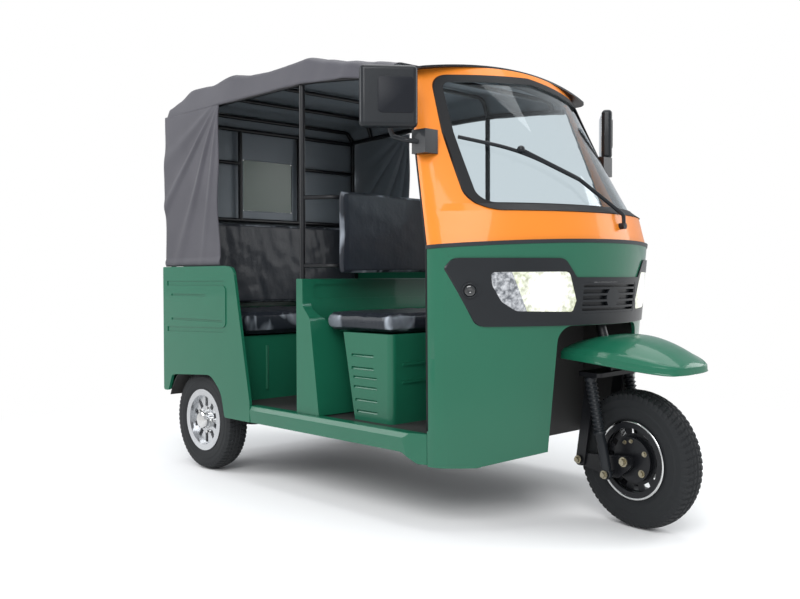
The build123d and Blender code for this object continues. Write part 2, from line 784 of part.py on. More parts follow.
# Bows: (x, height where it leaves the rail, height of its shoulder)
BOWS = [
    (POST_D_X, 1740, 1793),
    (-2150, 1750, 1850),
    (-1820, 1755, 1864),
    (POST_B_X, 1756, 1850),
]
for bow_x, foot_z, shoulder_z in BOWS:
    bow_path = [
        (bow_x, -RAIL_HALF, foot_z),
        (bow_x, -RAIL_HALF + 42, shoulder_z),
        (bow_x, RAIL_HALF - 42, shoulder_z),
        (bow_x, RAIL_HALF, foot_z),
    ]
    bend = min(BOW_BEND, (shoulder_z - foot_z) * 0.6)
    roof = roof + tube(bow_path, [bend, bend], TUBE_R - 2)
front_bow = [(-800, -545, 1718), (-800, -505, 1762), (-800, 505, 1762), (-800, 545, 1718)]
roof = roof + tube(front_bow, [40, 40], TUBE_R - 2)
# Posts: (x, height of the foot, height of the head)
POSTS = [
    (POST_B_X, PARTITION_TOP + GAP, 1760),
    (POST_C_X, 820, 1760),
    (POST_D_X, 820, 1740),
]
for post_x, foot_z, head_z in POSTS:
    post = rod((post_x, RAIL_HALF, foot_z), (post_x, RAIL_HALF, head_z), TUBE_R)
    if foot_z < PARTITION_TOP:
        post = post + block(
            post_x - 13, post_x + 13, RAIL_HALF, BODY_HALF - SKIN - GAP, foot_z + 40, foot_z + 140
        )
    roof = roof + both_sides(post)
# Rear wall bars: (half length, height)
for bar_half, bar_z in ((RAIL_HALF, REAR_BAR_Z), (RAIL_HALF, 1245)):
    roof = roof + rod((POST_D_X, -bar_half, bar_z), (POST_D_X, bar_half, bar_z), TUBE_R - 1)
WINDOW_POST_Y = 198
for side in (-1, 1):
    post_y = side * WINDOW_POST_Y
    roof = roof + rod((POST_D_X, post_y, 1245), (POST_D_X, post_y, REAR_BAR_Z), TUBE_R - 1)
    roof = roof + rod((POST_D_X, post_y, 1550), (POST_D_X, side * RAIL_HALF, 1550), TUBE_R - 3)
# Bars that carry the driver's backrest
for bar_z in (985, 1275):
    carrier = [
        (POST_B_X, -RAIL_HALF, bar_z),
        (-1138, -525, bar_z),
        (-1138, 525, bar_z),
        (POST_B_X, RAIL_HALF, bar_z),
    ]
    roof = roof + tube(carrier, [60, 60], TUBE_R - 3)
write("roof_frame", roof)

# Canvas roof: stations (x, lower edge z, shoulder z, half width at the edge, at the shoulder)
CANOPY_STATIONS = [
    (X_BACK, 1726, 1806, 626, 592),
    (-2150, 1738, 1872, 626, 584),
    (-1820, 1746, 1888, 626, 582),
    (-1540, 1749, 1862, 626, 584),
    (POST_B_X, 1750, 1872, 626, 584),
    (-980, 1733, 1812, 622, 578),
    (-752, 1705, 1776, 574, 534),
]


def canopy_section(station, thin):
    """One cross-section of the canvas roof, drawn in by a thickness."""
    x, low, high, half, top_half = station
    crown = min(high + 8, 1891)
    bottom = low - (20 if thin else 0)
    face = rounded(
        [
            (-half + thin, bottom, 0),
            (half - thin, bottom, 0),
            (top_half + 22 - thin, high - 26 - thin, 0),
            (top_half - 12 - thin, high - thin, 0),
            (0, crown - thin, 0),
            (-top_half + 12 + thin, high - thin, 0),
            (-top_half - 22 + thin, high - 26 - thin, 0),
        ]
    )
    return Plane.YZ.offset(x) * face


canopy = None
for rear, front in zip(CANOPY_STATIONS, CANOPY_STATIONS[1:]):
    bay = loft([canopy_section(rear, 0), canopy_section(front, 0)], ruled=True)
    bay = bay - loft([canopy_section(rear, CANVAS), canopy_section(front, CANVAS)], ruled=True)
    canopy = bay if canopy is None else canopy + bay
write("canopy_roof", canopy)

# Canvas flaps over the rear quarters, and the canvas rear wall with its clear window
FLAP_FRONT = -1852
FLAP_BOTTOM = PANEL_TOP + 6
flap_y = 626 + GAP
flap = side_prism(
    [
        (X_BACK, FLAP_BOTTOM, 0),
        (FLAP_FRONT, FLAP_BOTTOM, 0),
        (FLAP_FRONT - 12, 1300, 0),
        (FLAP_FRONT + 6, 1752, 0),
        (X_BACK, 1736, 0),
    ],
    flap_y,
    flap_y + CANVAS + 4,
)
write("canopy_flap_left", flap)
write("canopy_flap_right", other_side(flap))
WINDOW_HALF = 165
WINDOW_LOW = 1300
WINDOW_HIGH = 1575
wall_back = X_BACK
rear_wall = block(wall_back, wall_back + CANVAS, -622, 622, FLAP_BOTTOM, CANOPY_STATIONS[0][1])
gable_front = (wall_back + CANVAS,) + CANOPY_STATIONS[0][1:]
gable = loft(
    [
        canopy_section(CANOPY_STATIONS[0], CANVAS + GAP),
        canopy_section(gable_front, CANVAS + GAP),
    ],
    ruled=True,
)
rear_wall = rear_wall + gable
rear_wall = rear_wall - block(wall_back - 1, wall_back + 10, 621, 700, 1700, 1760)
rear_wall = rear_wall - block(wall_back - 1, wall_back + 10, -700, -621, 1700, 1760)
window_outline = [
    (-WINDOW_HALF, WINDOW_LOW, 12),
    (WINDOW_HALF, WINDOW_LOW, 12),
    (WINDOW_HALF, WINDOW_HIGH, 12),
    (-WINDOW_HALF, WINDOW_HIGH, 12),
]
rear_wall = rear_wall - front_prism(window_outline, wall_back - 10, wall_back + 20)
write("canopy_rear_wall", rear_wall)
pane_face = Plane.YZ.offset(wall_back + 1) * offset(rounded(window_outline), amount=-GAP)
pane = extrude(pane_face, amount=2, dir=(1, 0, 0))
write("rear_window", pane)

# Mirrors on the windscreen pillars
BRACKET_Z = 1436
BRACKET_X = -548
MIRROR_TURN = 37
bracket = block(-588, -518, 545, 640, BRACKET_Z - 44, BRACKET_Z + 44)
bracket = bracket - cowl_solid(upper_run, -GAP, THROUGH_RUN)
bracket = bracket & block(-700, 0, 0, 612, 0, 2000)
mirror_arm = tube(
    [(-560, 603, 1436), (-588, 640, 1440), (-640, 660, 1458), (-632, 690, 1500)], [14, 14], 9
)
mirror_place = Pos(-615, 705, 1595) * Rot(0, 0, MIRROR_TURN)
housing = mirror_place * Box(48, 214, 227)
housing = fillet(housing.edges(), 18)
mirror_left = bracket + mirror_arm + housing
write("mirror_left", mirror_left)
write("mirror_right", other_side(mirror_left))

# Wiper: a pivot below the windscreen, an arm, and a blade in front of the glass
WIPER_POINTS = [(-100, 49, 1130), (-102, 49, 1172), (-222, -77, 1312), (-333, -287, 1414)]
wiper = tube(WIPER_POINTS, [14, 120], 7.5)
wiper = wiper + Pos(*WIPER_POINTS[-1]) * Sphere(15)
blade = [(-480, -476, 1458), (-335, -287, 1411), (-218, -80, 1308)]
wiper = wiper + tube(blade, [900], 7)
wiper = wiper - cowl_solid(upper_run, -SEAL_PROUD - 1, THROUGH_RUN)
wiper_pivot = rod((-135, 49, 1130), (-94, 49, 1130), 12)
wiper = wiper + (wiper_pivot - cowl_solid(upper_run, -GAP, THROUGH_RUN))
write("wiper", wiper)

# Instrument shelf inside the nose
shelf = block(-300, 0, -700, 700, 1075, 1090)
shelf = shelf & cowl_solid(upper_run, SKIN + GAP, THROUGH_RUN)
binnacle = side_prism(
    [(-300, 1085, 0), (-200, 1085, 0), (-215, 1150, 15), (-285, 1165, 15)], -110, 110
)
write("instrument_shelf", shelf + binnacle)

# Rear axle, propeller shaft, brake plates and leaf springs
AXLE_R = 28
STUB_R = 12
DRUM_PLATE_R = 92
rear_axle = rod(
    (X_REAR_AXLE, -TRACK_HALF + 72, REAR_TYRE_R), (X_REAR_AXLE, TRACK_HALF - 72, REAR_TYRE_R), AXLE_R
)
rear_axle = rear_axle + Pos(X_REAR_AXLE, 0, REAR_TYRE_R) * Sphere(92)
stub = rod(
    (X_REAR_AXLE, TRACK_HALF - 90, REAR_TYRE_R), (X_REAR_AXLE, TRACK_HALF + 10, REAR_TYRE_R), STUB_R
)
plate = rod(
    (X_REAR_AXLE, TRACK_HALF - 78, REAR_TYRE_R),
    (X_REAR_AXLE, TRACK_HALF - 71, REAR_TYRE_R),
    DRUM_PLATE_R,
)
rear_axle = rear_axle + both_sides(stub + plate)
rear_axle = rear_axle + rod(
    (ENGINE_BACK - GAP, 0, 274), (X_REAR_AXLE + 60, 0, REAR_TYRE_R + 4), 14
)
write("rear_axle", rear_axle)


def leaf_spring(side_y):
    """A bowed pack of leaves with an eye at each end, under the axle."""
    left = (X_REAR_AXLE - SPRING_HALF, SPRING_EYE_Z)
    right = (X_REAR_AXLE + SPRING_HALF, SPRING_EYE_Z)
    top = ThreePointArc(left, (X_REAR_AXLE, SPRING_LOW_Z + SPRING_T), right)
    low = ThreePointArc(
        (right[0], right[1] - SPRING_T), (X_REAR_AXLE, SPRING_LOW_Z), (left[0], left[1] - SPRING_T)
    )
    ends = [Line(right, (right[0], right[1] - SPRING_T)), Line((left[0], left[1] - SPRING_T), left)]
    face = make_face([top, ends[0], low, ends[1]])
    pack = extrude(Plane.XZ.offset(-side_y - SPRING_W / 2) * face, amount=SPRING_W)
    return pack


springs = leaf_spring(SPRING_Y)
spring_pad = block(
    X_REAR_AXLE - 30,
    X_REAR_AXLE + 30,
    SPRING_Y - SPRING_W / 2,
    SPRING_Y + SPRING_W / 2,
    SPRING_LOW_Z + 8,
    REAR_TYRE_R - 20,
)
axle_clear = rod(
    (X_REAR_AXLE, 0, REAR_TYRE_R), (X_REAR_AXLE, TRACK_HALF, REAR_TYRE_R), AXLE_R + GAP
)
springs = springs + (spring_pad - axle_clear)
for end in (-1, 1):
    eye_x = X_REAR_AXLE + end * SPRING_HALF
    springs = springs + rod(
        (eye_x, RAIL_Y + RAIL_W / 2 + 5 + GAP, SPRING_EYE_Z - 8),
        (eye_x, SPRING_Y + SPRING_W / 2, SPRING_EYE_Z - 8),
        14,
    )
write("leaf_springs", both_sides(springs))


# Wheels. A tyre and a rim are turned about their own axis and then laid over
def turned(edges):
    """A ring from its cross-section, (radius, distance along the axle), turned about Y."""
    section = Plane.XZ * make_face(edges)
    return Rot(90, 0, 0) * revolve(section, Axis.Z)


def tyre(radius, width):
    """A tyre: straight beads, bowed side walls, rounded shoulders and a bowed tread."""
    bead = width / 2 - 9
    shoulder_r = radius - 11
    shoulder = width / 2 - 8
    lip = RIM_LIP_R + 1.5
    edges = [
        Line((BEAD_R, -bead), (BEAD_R, bead)),
        Line((BEAD_R, bead), (lip, bead)),
        ThreePointArc((lip, bead), ((lip + shoulder_r) / 2, width / 2), (shoulder_r, shoulder)),
        ThreePointArc((shoulder_r, shoulder), (radius, 0), (shoulder_r, -shoulder)),
        ThreePointArc((shoulder_r, -shoulder), ((lip + shoulder_r) / 2, -width / 2), (lip, -bead)),
        Line((lip, -bead), (BEAD_R, -bead)),
    ]
    return turned(edges)


def ring(outer, inner, low, high):
    """A plain ring about the Y axis."""
    hoop = Cylinder(outer, high - low) - Cylinder(inner, high - low + 2)
    return Rot(90, 0, 0) * (Pos(0, 0, -(low + high) / 2) * hoop)


def rim(width):
    """A rim: a well with a lip at each side."""
    bead = width / 2 - 9
    barrel = ring(BEAD_R - GAP, BEAD_R - 8, -bead - 5, bead + 5)
    lips = ring(RIM_LIP_R, BEAD_R - 8, bead + GAP, bead + 5)
    return barrel + lips + ring(RIM_LIP_R, BEAD_R - 8, -bead - 5, -bead - GAP)


AXLE_BOLT_R = 10
FRONT_DRUM_R = 86
FRONT_SLOTS = 12
front_wheel = rim(FRONT_TYRE_W)
FRONT_DISC = -20
front_wheel = front_wheel + ring(BEAD_R - 7, AXLE_BOLT_R + GAP, FRONT_DISC - 3, FRONT_DISC + 3)
for slot in range(FRONT_SLOTS):
    window = Box(20, 16, 27)
    window = Pos(106, FRONT_DISC, 0) * window
    front_wheel = front_wheel - Rot(0, slot * 360 / FRONT_SLOTS, 0) * window
front_wheel = front_wheel + ring(FRONT_DRUM_R, AXLE_BOLT_R + GAP, -28, 28)
front_tyre = tyre(FRONT_TYRE_R, FRONT_TYRE_W)

# Everything that turns with the handlebar is placed straight ahead and then turned by
# STEER_AT_REST about the steering axis.
STEER_AXIS = Axis((STEER_X, 0, STEER_Z), (-math.sin(math.radians(RAKE)), 0, math.cos(math.radians(RAKE))))
FRONT_AXLE_Z = FRONT_TYRE_R


def steered(shape):
    """A straight-ahead piece turned to where the handlebar rests."""
    return shape.rotate(STEER_AXIS, STEER_AT_REST)


def at_front_axle(shape):
    """A piece of the front wheel, moved from the origin to the front axle."""
    return steered(Pos(0, 0, FRONT_AXLE_Z) * shape)


write("front_tyre", at_front_axle(front_tyre))
write("front_rim", at_front_axle(front_wheel))

# Front axle with its nuts, and the brake plate that stays still beside the drum
LINK_Y = 62
LINK_T = 12
SHOCK_Y = 108
SHOCK_EYE = 20
SHOCK_FOOT = (-62, 206)
LINK_PIN_R = 8
PIVOT_X = -222
PIVOT_Z = 232
NUT_R = 15
axle_end = LINK_Y + LINK_T + 16
axle = rod((0, -axle_end, FRONT_AXLE_Z), (0, axle_end, FRONT_AXLE_Z), AXLE_BOLT_R)
nut_start = (0, LINK_Y + LINK_T + GAP, FRONT_AXLE_Z)
axle = axle + both_sides(rod(nut_start, (0, axle_end - 5, FRONT_AXLE_Z), NUT_R))
brake_plate = rod((0, -42, FRONT_AXLE_Z), (0, -34, FRONT_AXLE_Z), FRONT_DRUM_R - 2)
write("front_axle", steered(axle + brake_plate))

# Fork: the stem, a crown plate, two stays and the pins of the trailing links
CROWN_Z = 575
CROWN_T = 16
CROWN_HALF = 132
crown_x = steer_x(CROWN_Z)
fork = steer_rod(CROWN_Z, 988, STEM_R)
fork = fork + plan_prism(
    [
        (crown_x - 62, -CROWN_HALF, 16),
        (crown_x + 50, -CROWN_HALF, 16),
        (crown_x + 50, CROWN_HALF, 16),
        (crown_x - 62, CROWN_HALF, 16),
    ],
    CROWN_Z - CROWN_T / 2,
    CROWN_Z + CROWN_T / 2,
)
STAY_T = 8
stay_y = LINK_Y + LINK_T + GAP
stay = side_prism(
    [
        (PIVOT_X - 22, PIVOT_Z - 24, 14),
        (PIVOT_X + 22, PIVOT_Z - 24, 14),
        (crown_x - 10, CROWN_Z, 0),
        (crown_x - 58, CROWN_Z, 0),
    ],
    stay_y,
    stay_y + STAY_T,
)
fork = fork + both_sides(stay)
fork = fork + both_sides(
    rod((PIVOT_X, LINK_Y - 4, PIVOT_Z), (PIVOT_X, stay_y + STAY_T + 8, PIVOT_Z), 9)
)
# Handlebar: two risers, a bar bent back at the grips, and the top clamp
BAR_Z = 988
BAR_BACK = 80
bar_x = steer_x(BAR_Z) - BAR_BACK
clamp = plan_prism(
    [
        (bar_x - 18, -30, 8),
        (steer_x(BAR_Z) + 26, -30, 20),
        (steer_x(BAR_Z) + 26, 30, 20),
        (bar_x - 18, 30, 8),
    ],
    BAR_Z - 16,
    BAR_Z + 12,
)
bar_path = [
    (bar_x - 130, -290, BAR_Z),
    (bar_x, -190, BAR_Z),
    (bar_x, 190, BAR_Z),
    (bar_x - 130, 290, BAR_Z),
]
handlebar = tube(bar_path, [60, 60], 11)
for side in (-1, 1):
    grip_start = (bar_x - 62, side * 238, BAR_Z)
    grip_end = (bar_x - 134, side * 293, BAR_Z)
    handlebar = handlebar + rod(grip_start, grip_end, 16)
fork = fork + clamp + handlebar
write("steering_fork", steered(fork))

# Trailing links, bored for the axle and the fork's pins
link = side_prism(
    [
        (PIVOT_X - 22, PIVOT_Z - 20, 18),
        (SHOCK_FOOT[0] - 22, SHOCK_FOOT[1] - 18, 16),
        (SHOCK_FOOT[0] + 22, SHOCK_FOOT[1] - 18, 16),
        (24, FRONT_AXLE_Z - 20, 18),
        (24, FRONT_AXLE_Z + 22, 18),
        (PIVOT_X - 22, PIVOT_Z + 20, 18),
    ],
    LINK_Y,
    LINK_Y + LINK_T,
)
link = link + rod(
    (SHOCK_FOOT[0], LINK_Y + LINK_T - 2, SHOCK_FOOT[1]),
    (SHOCK_FOOT[0], SHOCK_Y + SHOCK_EYE / 2 + 8, SHOCK_FOOT[1]),
    LINK_PIN_R,
)
link = link - rod((0, 0, FRONT_AXLE_Z), (0, 200, FRONT_AXLE_Z), AXLE_BOLT_R + GAP)
link = link - rod((PIVOT_X, 0, PIVOT_Z), (PIVOT_X, 200, PIVOT_Z), 9 + GAP)
write("trailing_links", steered(both_sides(link)))

# Shock absorbers: an eye on the link's pin, a spring tube, and a ribbed dust boot up to the crown
SHOCK_TOP = (-133, CROWN_Z - CROWN_T / 2 - 1)


def shock_point(share):
    """A point on the shock absorber's axis, from its foot to its top."""
    x = SHOCK_FOOT[0] + (SHOCK_TOP[0] - SHOCK_FOOT[0]) * share
    z = SHOCK_FOOT[1] + (SHOCK_TOP[1] - SHOCK_FOOT[1]) * share
    return (x, SHOCK_Y, z)


shock = rod(shock_point(0.03), shock_point(0.5), 19)
shock = shock + rod(shock_point(0.4), shock_point(0.97), 16)
BOOT_RIBS = 12
for rib in range(BOOT_RIBS):
    share = 0.44 + rib * 0.043
    shock = shock + rod(shock_point(share), shock_point(share + 0.022), 21)
eye_low = (SHOCK_FOOT[0], SHOCK_Y - SHOCK_EYE / 2, SHOCK_FOOT[1])
eye_high = (SHOCK_FOOT[0], SHOCK_Y + SHOCK_EYE / 2, SHOCK_FOOT[1])
shock = shock + rod(eye_low, eye_high, 20)
pin_hole = rod(
    (SHOCK_FOOT[0], 0, SHOCK_FOOT[1]), (SHOCK_FOOT[0], 200, SHOCK_FOOT[1]), LINK_PIN_R + GAP
)
shock = shock - pin_hole
shock = shock & block(-400, 200, 0, 200, 0, SHOCK_TOP[1])
write("front_shocks", steered(both_sides(shock)))

# Front mudguard: a duck-bill shell, stations (x, half width, hem z, shoulder z, crown z)
GUARD_T = 5
GUARD_STATIONS = [
    (-215, 178, 636, 664, 694),
    (-140, 187, 634, 662, 712),
    (-60, 190, 630, 658, 722),
    (20, 182, 623, 650, 720),
    (95, 165, 614, 640, 707),
    (160, 141, 606, 630, 683),
    (208, 113, 600, 621, 655),
    (238, 86, 597, 614, 634),
    (250, 64, 596, 610, 619),
]


def guard_section(station, thin):
    """One cross-section of the mudguard, drawn in by a thickness and open below."""
    x, half, hem, shoulder, crown = station
    bottom = hem - (20 if thin else 0)
    side = half - thin
    high = shoulder - thin / 2
    edges = [
        Line((-side, bottom), (side, bottom)),
        Line((side, bottom), (side, high)),
        ThreePointArc((side, high), (0, crown - thin), (-side, high)),
        Line((-side, high), (-side, bottom)),
    ]
    return Plane.YZ.offset(x) * make_face(edges)


def guard_shell(stations, thin):
    """The mudguard's stations joined in pairs."""
    whole = None
    for rear, front in zip(stations, stations[1:]):
        bay = loft([guard_section(rear, thin), guard_section(front, thin)], ruled=True)
        whole = bay if whole is None else whole + bay
    return whole


inner_stations = [(-230,) + GUARD_STATIONS[0][1:]] + GUARD_STATIONS[1:-1]
inner_stations.append((245, 74, 597, 611, 624))
guard_room = guard_shell(inner_stations, GUARD_T)
guard = guard_shell(GUARD_STATIONS, 0) - guard_room
guard = guard - steer_rod(600, 760, STEM_R + 1)
guard_post = block(crown_x + 18, crown_x + 42, -60, 60, CROWN_Z + CROWN_T / 2 + GAP, 800)
guard = guard + (guard_post & (guard_room + block(-400, 300, -60, 60, 500, 660)))
write("front_mudguard", steered(guard))

# Rear wheels: rim, ten-spoked disc, drum and a turned hub cap
SPOKES = 10
DISC_OUT = 22
rear_wheel = rim(REAR_TYRE_W)
disc = ring(BEAD_R - 7, STUB_R + GAP, DISC_OUT, DISC_OUT + 8)
for slot in range(SPOKES):
    window = Pos(88, 0, 0) * Box(46, 20, 24)
    window = Pos(0, DISC_OUT + 4, 0) * Rot(0, (slot + 0.5) * 360 / SPOKES, 0) * window
    disc = disc - window
rear_wheel = rear_wheel + disc
rear_wheel = rear_wheel + ring(52, STUB_R + GAP, -58, DISC_OUT + 2)
rear_wheel = rear_wheel + ring(88, STUB_R + GAP, -64, -20)
rear_wheel = rear_wheel + (
    ring(42, STUB_R + GAP, DISC_OUT, 50) + ring(38, 0, DISC_OUT + 6, 54) - ring(14, 0, -80, 14)
)
rear_tyre = tyre(REAR_TYRE_R, REAR_TYRE_W)
for name, side in (("left", 1), ("right", -1)):
    place = Pos(X_REAR_AXLE, side * TRACK_HALF, REAR_TYRE_R)
    turn = Rot(0, 0, 0) if side > 0 else Rot(0, 0, 180)
    write(f"rear_tyre_{name}", place * turn * rear_tyre)
    write(f"rear_rim_{name}", place * turn * rear_wheel)
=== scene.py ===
import math
import json

import bpy
import bmesh
from mathutils import Vector, Matrix, Quaternion, noise


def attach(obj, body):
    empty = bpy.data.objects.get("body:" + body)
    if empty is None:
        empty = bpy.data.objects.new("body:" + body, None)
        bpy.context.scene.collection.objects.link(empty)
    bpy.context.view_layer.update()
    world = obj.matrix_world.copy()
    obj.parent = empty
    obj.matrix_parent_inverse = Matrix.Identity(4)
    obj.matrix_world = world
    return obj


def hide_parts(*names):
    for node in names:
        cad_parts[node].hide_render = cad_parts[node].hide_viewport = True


# An auto rickshaw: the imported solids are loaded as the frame, each solid gets the finish of the
# real piece, and the canvas, cushions, tyres, lamps and trim are modelled over or in their place.
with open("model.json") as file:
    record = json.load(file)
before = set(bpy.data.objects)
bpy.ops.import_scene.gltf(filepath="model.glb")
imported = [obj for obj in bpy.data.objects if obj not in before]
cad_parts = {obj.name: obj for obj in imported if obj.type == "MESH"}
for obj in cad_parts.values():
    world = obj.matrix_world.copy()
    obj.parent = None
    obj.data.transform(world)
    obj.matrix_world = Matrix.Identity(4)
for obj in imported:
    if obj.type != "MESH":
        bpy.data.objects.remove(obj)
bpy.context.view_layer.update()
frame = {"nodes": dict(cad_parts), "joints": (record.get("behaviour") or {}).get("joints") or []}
scene = bpy.context.scene
nodes = frame["nodes"]
FRONT_AXLE_X = 1.0443

# Camera: where the photograph was taken, solved from the wheels and the body's edges. It looks
# almost level at the right front corner.
LENS = 40.96
SENSOR_WIDTH = 36.0
CAMERA_SPOT = (1.816 + FRONT_AXLE_X, -2.996, 0.934)
HEADING = math.radians(135.99)
PITCH = math.radians(-1.377)
ROLL = math.radians(0.107)
camera_data = bpy.data.cameras.new("camera")
camera_data.lens = LENS
camera_data.sensor_width = SENSOR_WIDTH
camera = bpy.data.objects.new("camera", camera_data)
scene.collection.objects.link(camera)
sight = Vector(
    (math.cos(HEADING) * math.cos(PITCH), math.sin(HEADING) * math.cos(PITCH), math.sin(PITCH))
)
camera.location = CAMERA_SPOT
camera.rotation_mode = "QUATERNION"
camera.rotation_quaternion = Quaternion(sight, ROLL) @ sight.to_track_quat("-Z", "Y")
scene.camera = camera
scene.view_settings.view_transform = "Standard"


# Studio: a pale floor, a world that the camera sees white and that lights softly in grey, and
# four large soft lamps.
SKY_LIGHT = (0.62, 0.64, 0.67, 1)
SKY_SEEN = (1, 1, 1, 1)
FLOOR_HALF = 40
FLOOR_FADE = (1.5, 3.4)  # the distances between which the floor turns white


def lamp(name, place, aim, size, power):
    """A square area lamp that points at a spot on the vehicle."""
    data = bpy.data.lights.new(name, "AREA")
    data.size = size
    data.energy = power
    obj = bpy.data.objects.new(name, data)
    obj.location = place
    obj.rotation_mode = "QUATERNION"
    obj.rotation_quaternion = (Vector(aim) - Vector(place)).to_track_quat("-Z", "Y")
    scene.collection.objects.link(obj)


lamp("key_lamp", (3.5, -4.5, 4.2), (0.3, 0, 0.9), 3.5, 260)
lamp("side_lamp", (-3.5, -4.0, 3.0), (-0.6, 0, 0.9), 3.0, 120)
lamp("top_lamp", (0.0, 0.5, 5.0), (0, 0, 0.5), 4.0, 130)
lamp("far_lamp", (3.0, 4.0, 3.0), (0, 0, 1.0), 3.0, 110)

world = bpy.data.worlds.new("studio")
scene.world = world
world.use_nodes = True
sky = world.node_tree.nodes
sky_links = world.node_tree.links
background = sky["Background"]
background.inputs["Strength"].default_value = 1.0
rays = sky.new("ShaderNodeLightPath")
seen = sky.new("ShaderNodeMath")
seen.operation = "MAXIMUM"
sky_mix = sky.new("ShaderNodeMix")
sky_mix.data_type = "RGBA"
sky_mix.inputs["A"].default_value = SKY_LIGHT
sky_mix.inputs["B"].default_value = SKY_SEEN
sky_links.new(rays.outputs["Is Camera Ray"], seen.inputs[0])
sky_links.new(rays.outputs["Is Transmission Ray"], seen.inputs[1])
sky_links.new(seen.outputs[0], sky_mix.inputs["Factor"])
sky_links.new(sky_mix.outputs["Result"], background.inputs["Color"])


def linear(red, green, blue):
    """A screen colour, 0 to 255, as the renderer's linear colour."""
    channels = []
    for value in (red, green, blue):
        share = value / 255
        channels.append(share / 12.92 if share <= 0.04045 else ((share + 0.055) / 1.055) ** 2.4)
    return (*channels, 1.0)


def finish(name, colour, other, mottle, rough, grain, depth, metal=0.0, coat=0.0, sheer=0.5):
    """A painted, moulded or woven surface: two close shades in soft patches and a fine grain.

    mottle and grain are noise scales, depth is the grain's height in metres, and sheer is the
    share of light thrown back at the surface.
    """
    mat = bpy.data.materials.new(name)
    mat.use_nodes = True
    tree = mat.node_tree
    shader = tree.nodes["Principled BSDF"]
    shader.inputs["Metallic"].default_value = metal
    shader.inputs["Coat Weight"].default_value = coat
    shader.inputs["Coat Roughness"].default_value = 0.06
    shader.inputs["Specular IOR Level"].default_value = sheer
    place = tree.nodes.new("ShaderNodeTexCoord")
    patches = tree.nodes.new("ShaderNodeTexNoise")
    patches.inputs["Scale"].default_value = mottle
    patches.inputs["Detail"].default_value = 3.0
    mix = tree.nodes.new("ShaderNodeMix")
    mix.data_type = "RGBA"
    mix.inputs["A"].default_value = linear(*colour)
    mix.inputs["B"].default_value = linear(*other)
    spread = tree.nodes.new("ShaderNodeMapRange")
    spread.inputs["To Min"].default_value = rough * 0.8
    spread.inputs["To Max"].default_value = rough * 1.2
    fine = tree.nodes.new("ShaderNodeTexNoise")
    fine.inputs["Scale"].default_value = grain
    fine.inputs["Detail"].default_value = 2.0
    bump = tree.nodes.new("ShaderNodeBump")
    bump.inputs["Strength"].default_value = 0.35
    bump.inputs["Distance"].default_value = depth
    tree.links.new(place.outputs["Object"], patches.inputs["Vector"])
    tree.links.new(place.outputs["Object"], fine.inputs["Vector"])
    tree.links.new(patches.outputs["Fac"], mix.inputs["Factor"])
    tree.links.new(mix.outputs["Result"], shader.inputs["Base Color"])
    tree.links.new(patches.outputs["Fac"], spread.inputs["Value"])
    tree.links.new(spread.outputs["Result"], shader.inputs["Roughness"])
    tree.links.new(fine.outputs["Fac"], bump.inputs["Height"])
    tree.links.new(bump.outputs["Normal"], shader.inputs["Normal"])
    return mat


def clear(name, tint, rough, ior=1.45):
    """A clear pane or lens with a faint unevenness in its surface."""
    mat = finish(name, tint, tint, 3, rough, 6, 0.0004, sheer=0.2)
    shader = mat.node_tree.nodes["Principled BSDF"]
    shader.inputs["Transmission Weight"].default_value = 1.0
    shader.inputs["IOR"].default_value = ior
    return mat


floor_mesh = bpy.data.meshes.new("floor")
shape = bmesh.new()
bmesh.ops.create_grid(shape, x_segments=1, y_segments=1, size=FLOOR_HALF)
shape.to_mesh(floor_mesh)
shape.free()
floor = bpy.data.objects.new("floor", floor_mesh)
floor.location.z = -0.0005
scene.collection.objects.link(floor)
FLOOR = finish("floor_finish", (247, 247, 247), (243, 243, 243), 1, 0.8, 40, 0.0002)
floor_tree = FLOOR.node_tree
floor_place = floor_tree.nodes.new("ShaderNodeTexCoord")
far_off = floor_tree.nodes.new("ShaderNodeVectorMath")
far_off.operation = "LENGTH"
whiten = floor_tree.nodes.new("ShaderNodeMapRange")
whiten.interpolation_type = "SMOOTHSTEP"
whiten.inputs["From Min"].default_value = FLOOR_FADE[0]
whiten.inputs["From Max"].default_value = FLOOR_FADE[1]
floor_rays = floor_tree.nodes.new("ShaderNodeLightPath")
floor_seen = floor_tree.nodes.new("ShaderNodeMath")
floor_seen.operation = "MAXIMUM"
floor_seen_more = floor_tree.nodes.new("ShaderNodeMath")
floor_seen_more.operation = "MAXIMUM"
floor_share = floor_tree.nodes.new("ShaderNodeMath")
floor_share.operation = "MULTIPLY"
white = floor_tree.nodes.new("ShaderNodeEmission")
floor_mix = floor_tree.nodes.new("ShaderNodeMixShader")
floor_links = floor_tree.links
floor_links.new(floor_place.outputs["Object"], far_off.inputs[0])
floor_links.new(far_off.outputs["Value"], whiten.inputs["Value"])
floor_links.new(floor_rays.outputs["Is Camera Ray"], floor_seen.inputs[0])
floor_links.new(floor_rays.outputs["Is Transmission Ray"], floor_seen.inputs[1])
floor_links.new(floor_seen.outputs[0], floor_seen_more.inputs[0])
floor_links.new(floor_rays.outputs["Is Glossy Ray"], floor_seen_more.inputs[1])
floor_links.new(floor_seen_more.outputs[0], floor_share.inputs[0])
floor_links.new(whiten.outputs["Result"], floor_share.inputs[1])
floor_links.new(floor_share.outputs[0], floor_mix.inputs["Fac"])
floor_links.new(floor_tree.nodes["Principled BSDF"].outputs["BSDF"], floor_mix.inputs[1])
floor_links.new(white.outputs["Emission"], floor_mix.inputs[2])
floor_links.new(floor_mix.outputs["Shader"], floor_tree.nodes["Material Output"].inputs["Surface"])
floor_mesh.materials.append(FLOOR)

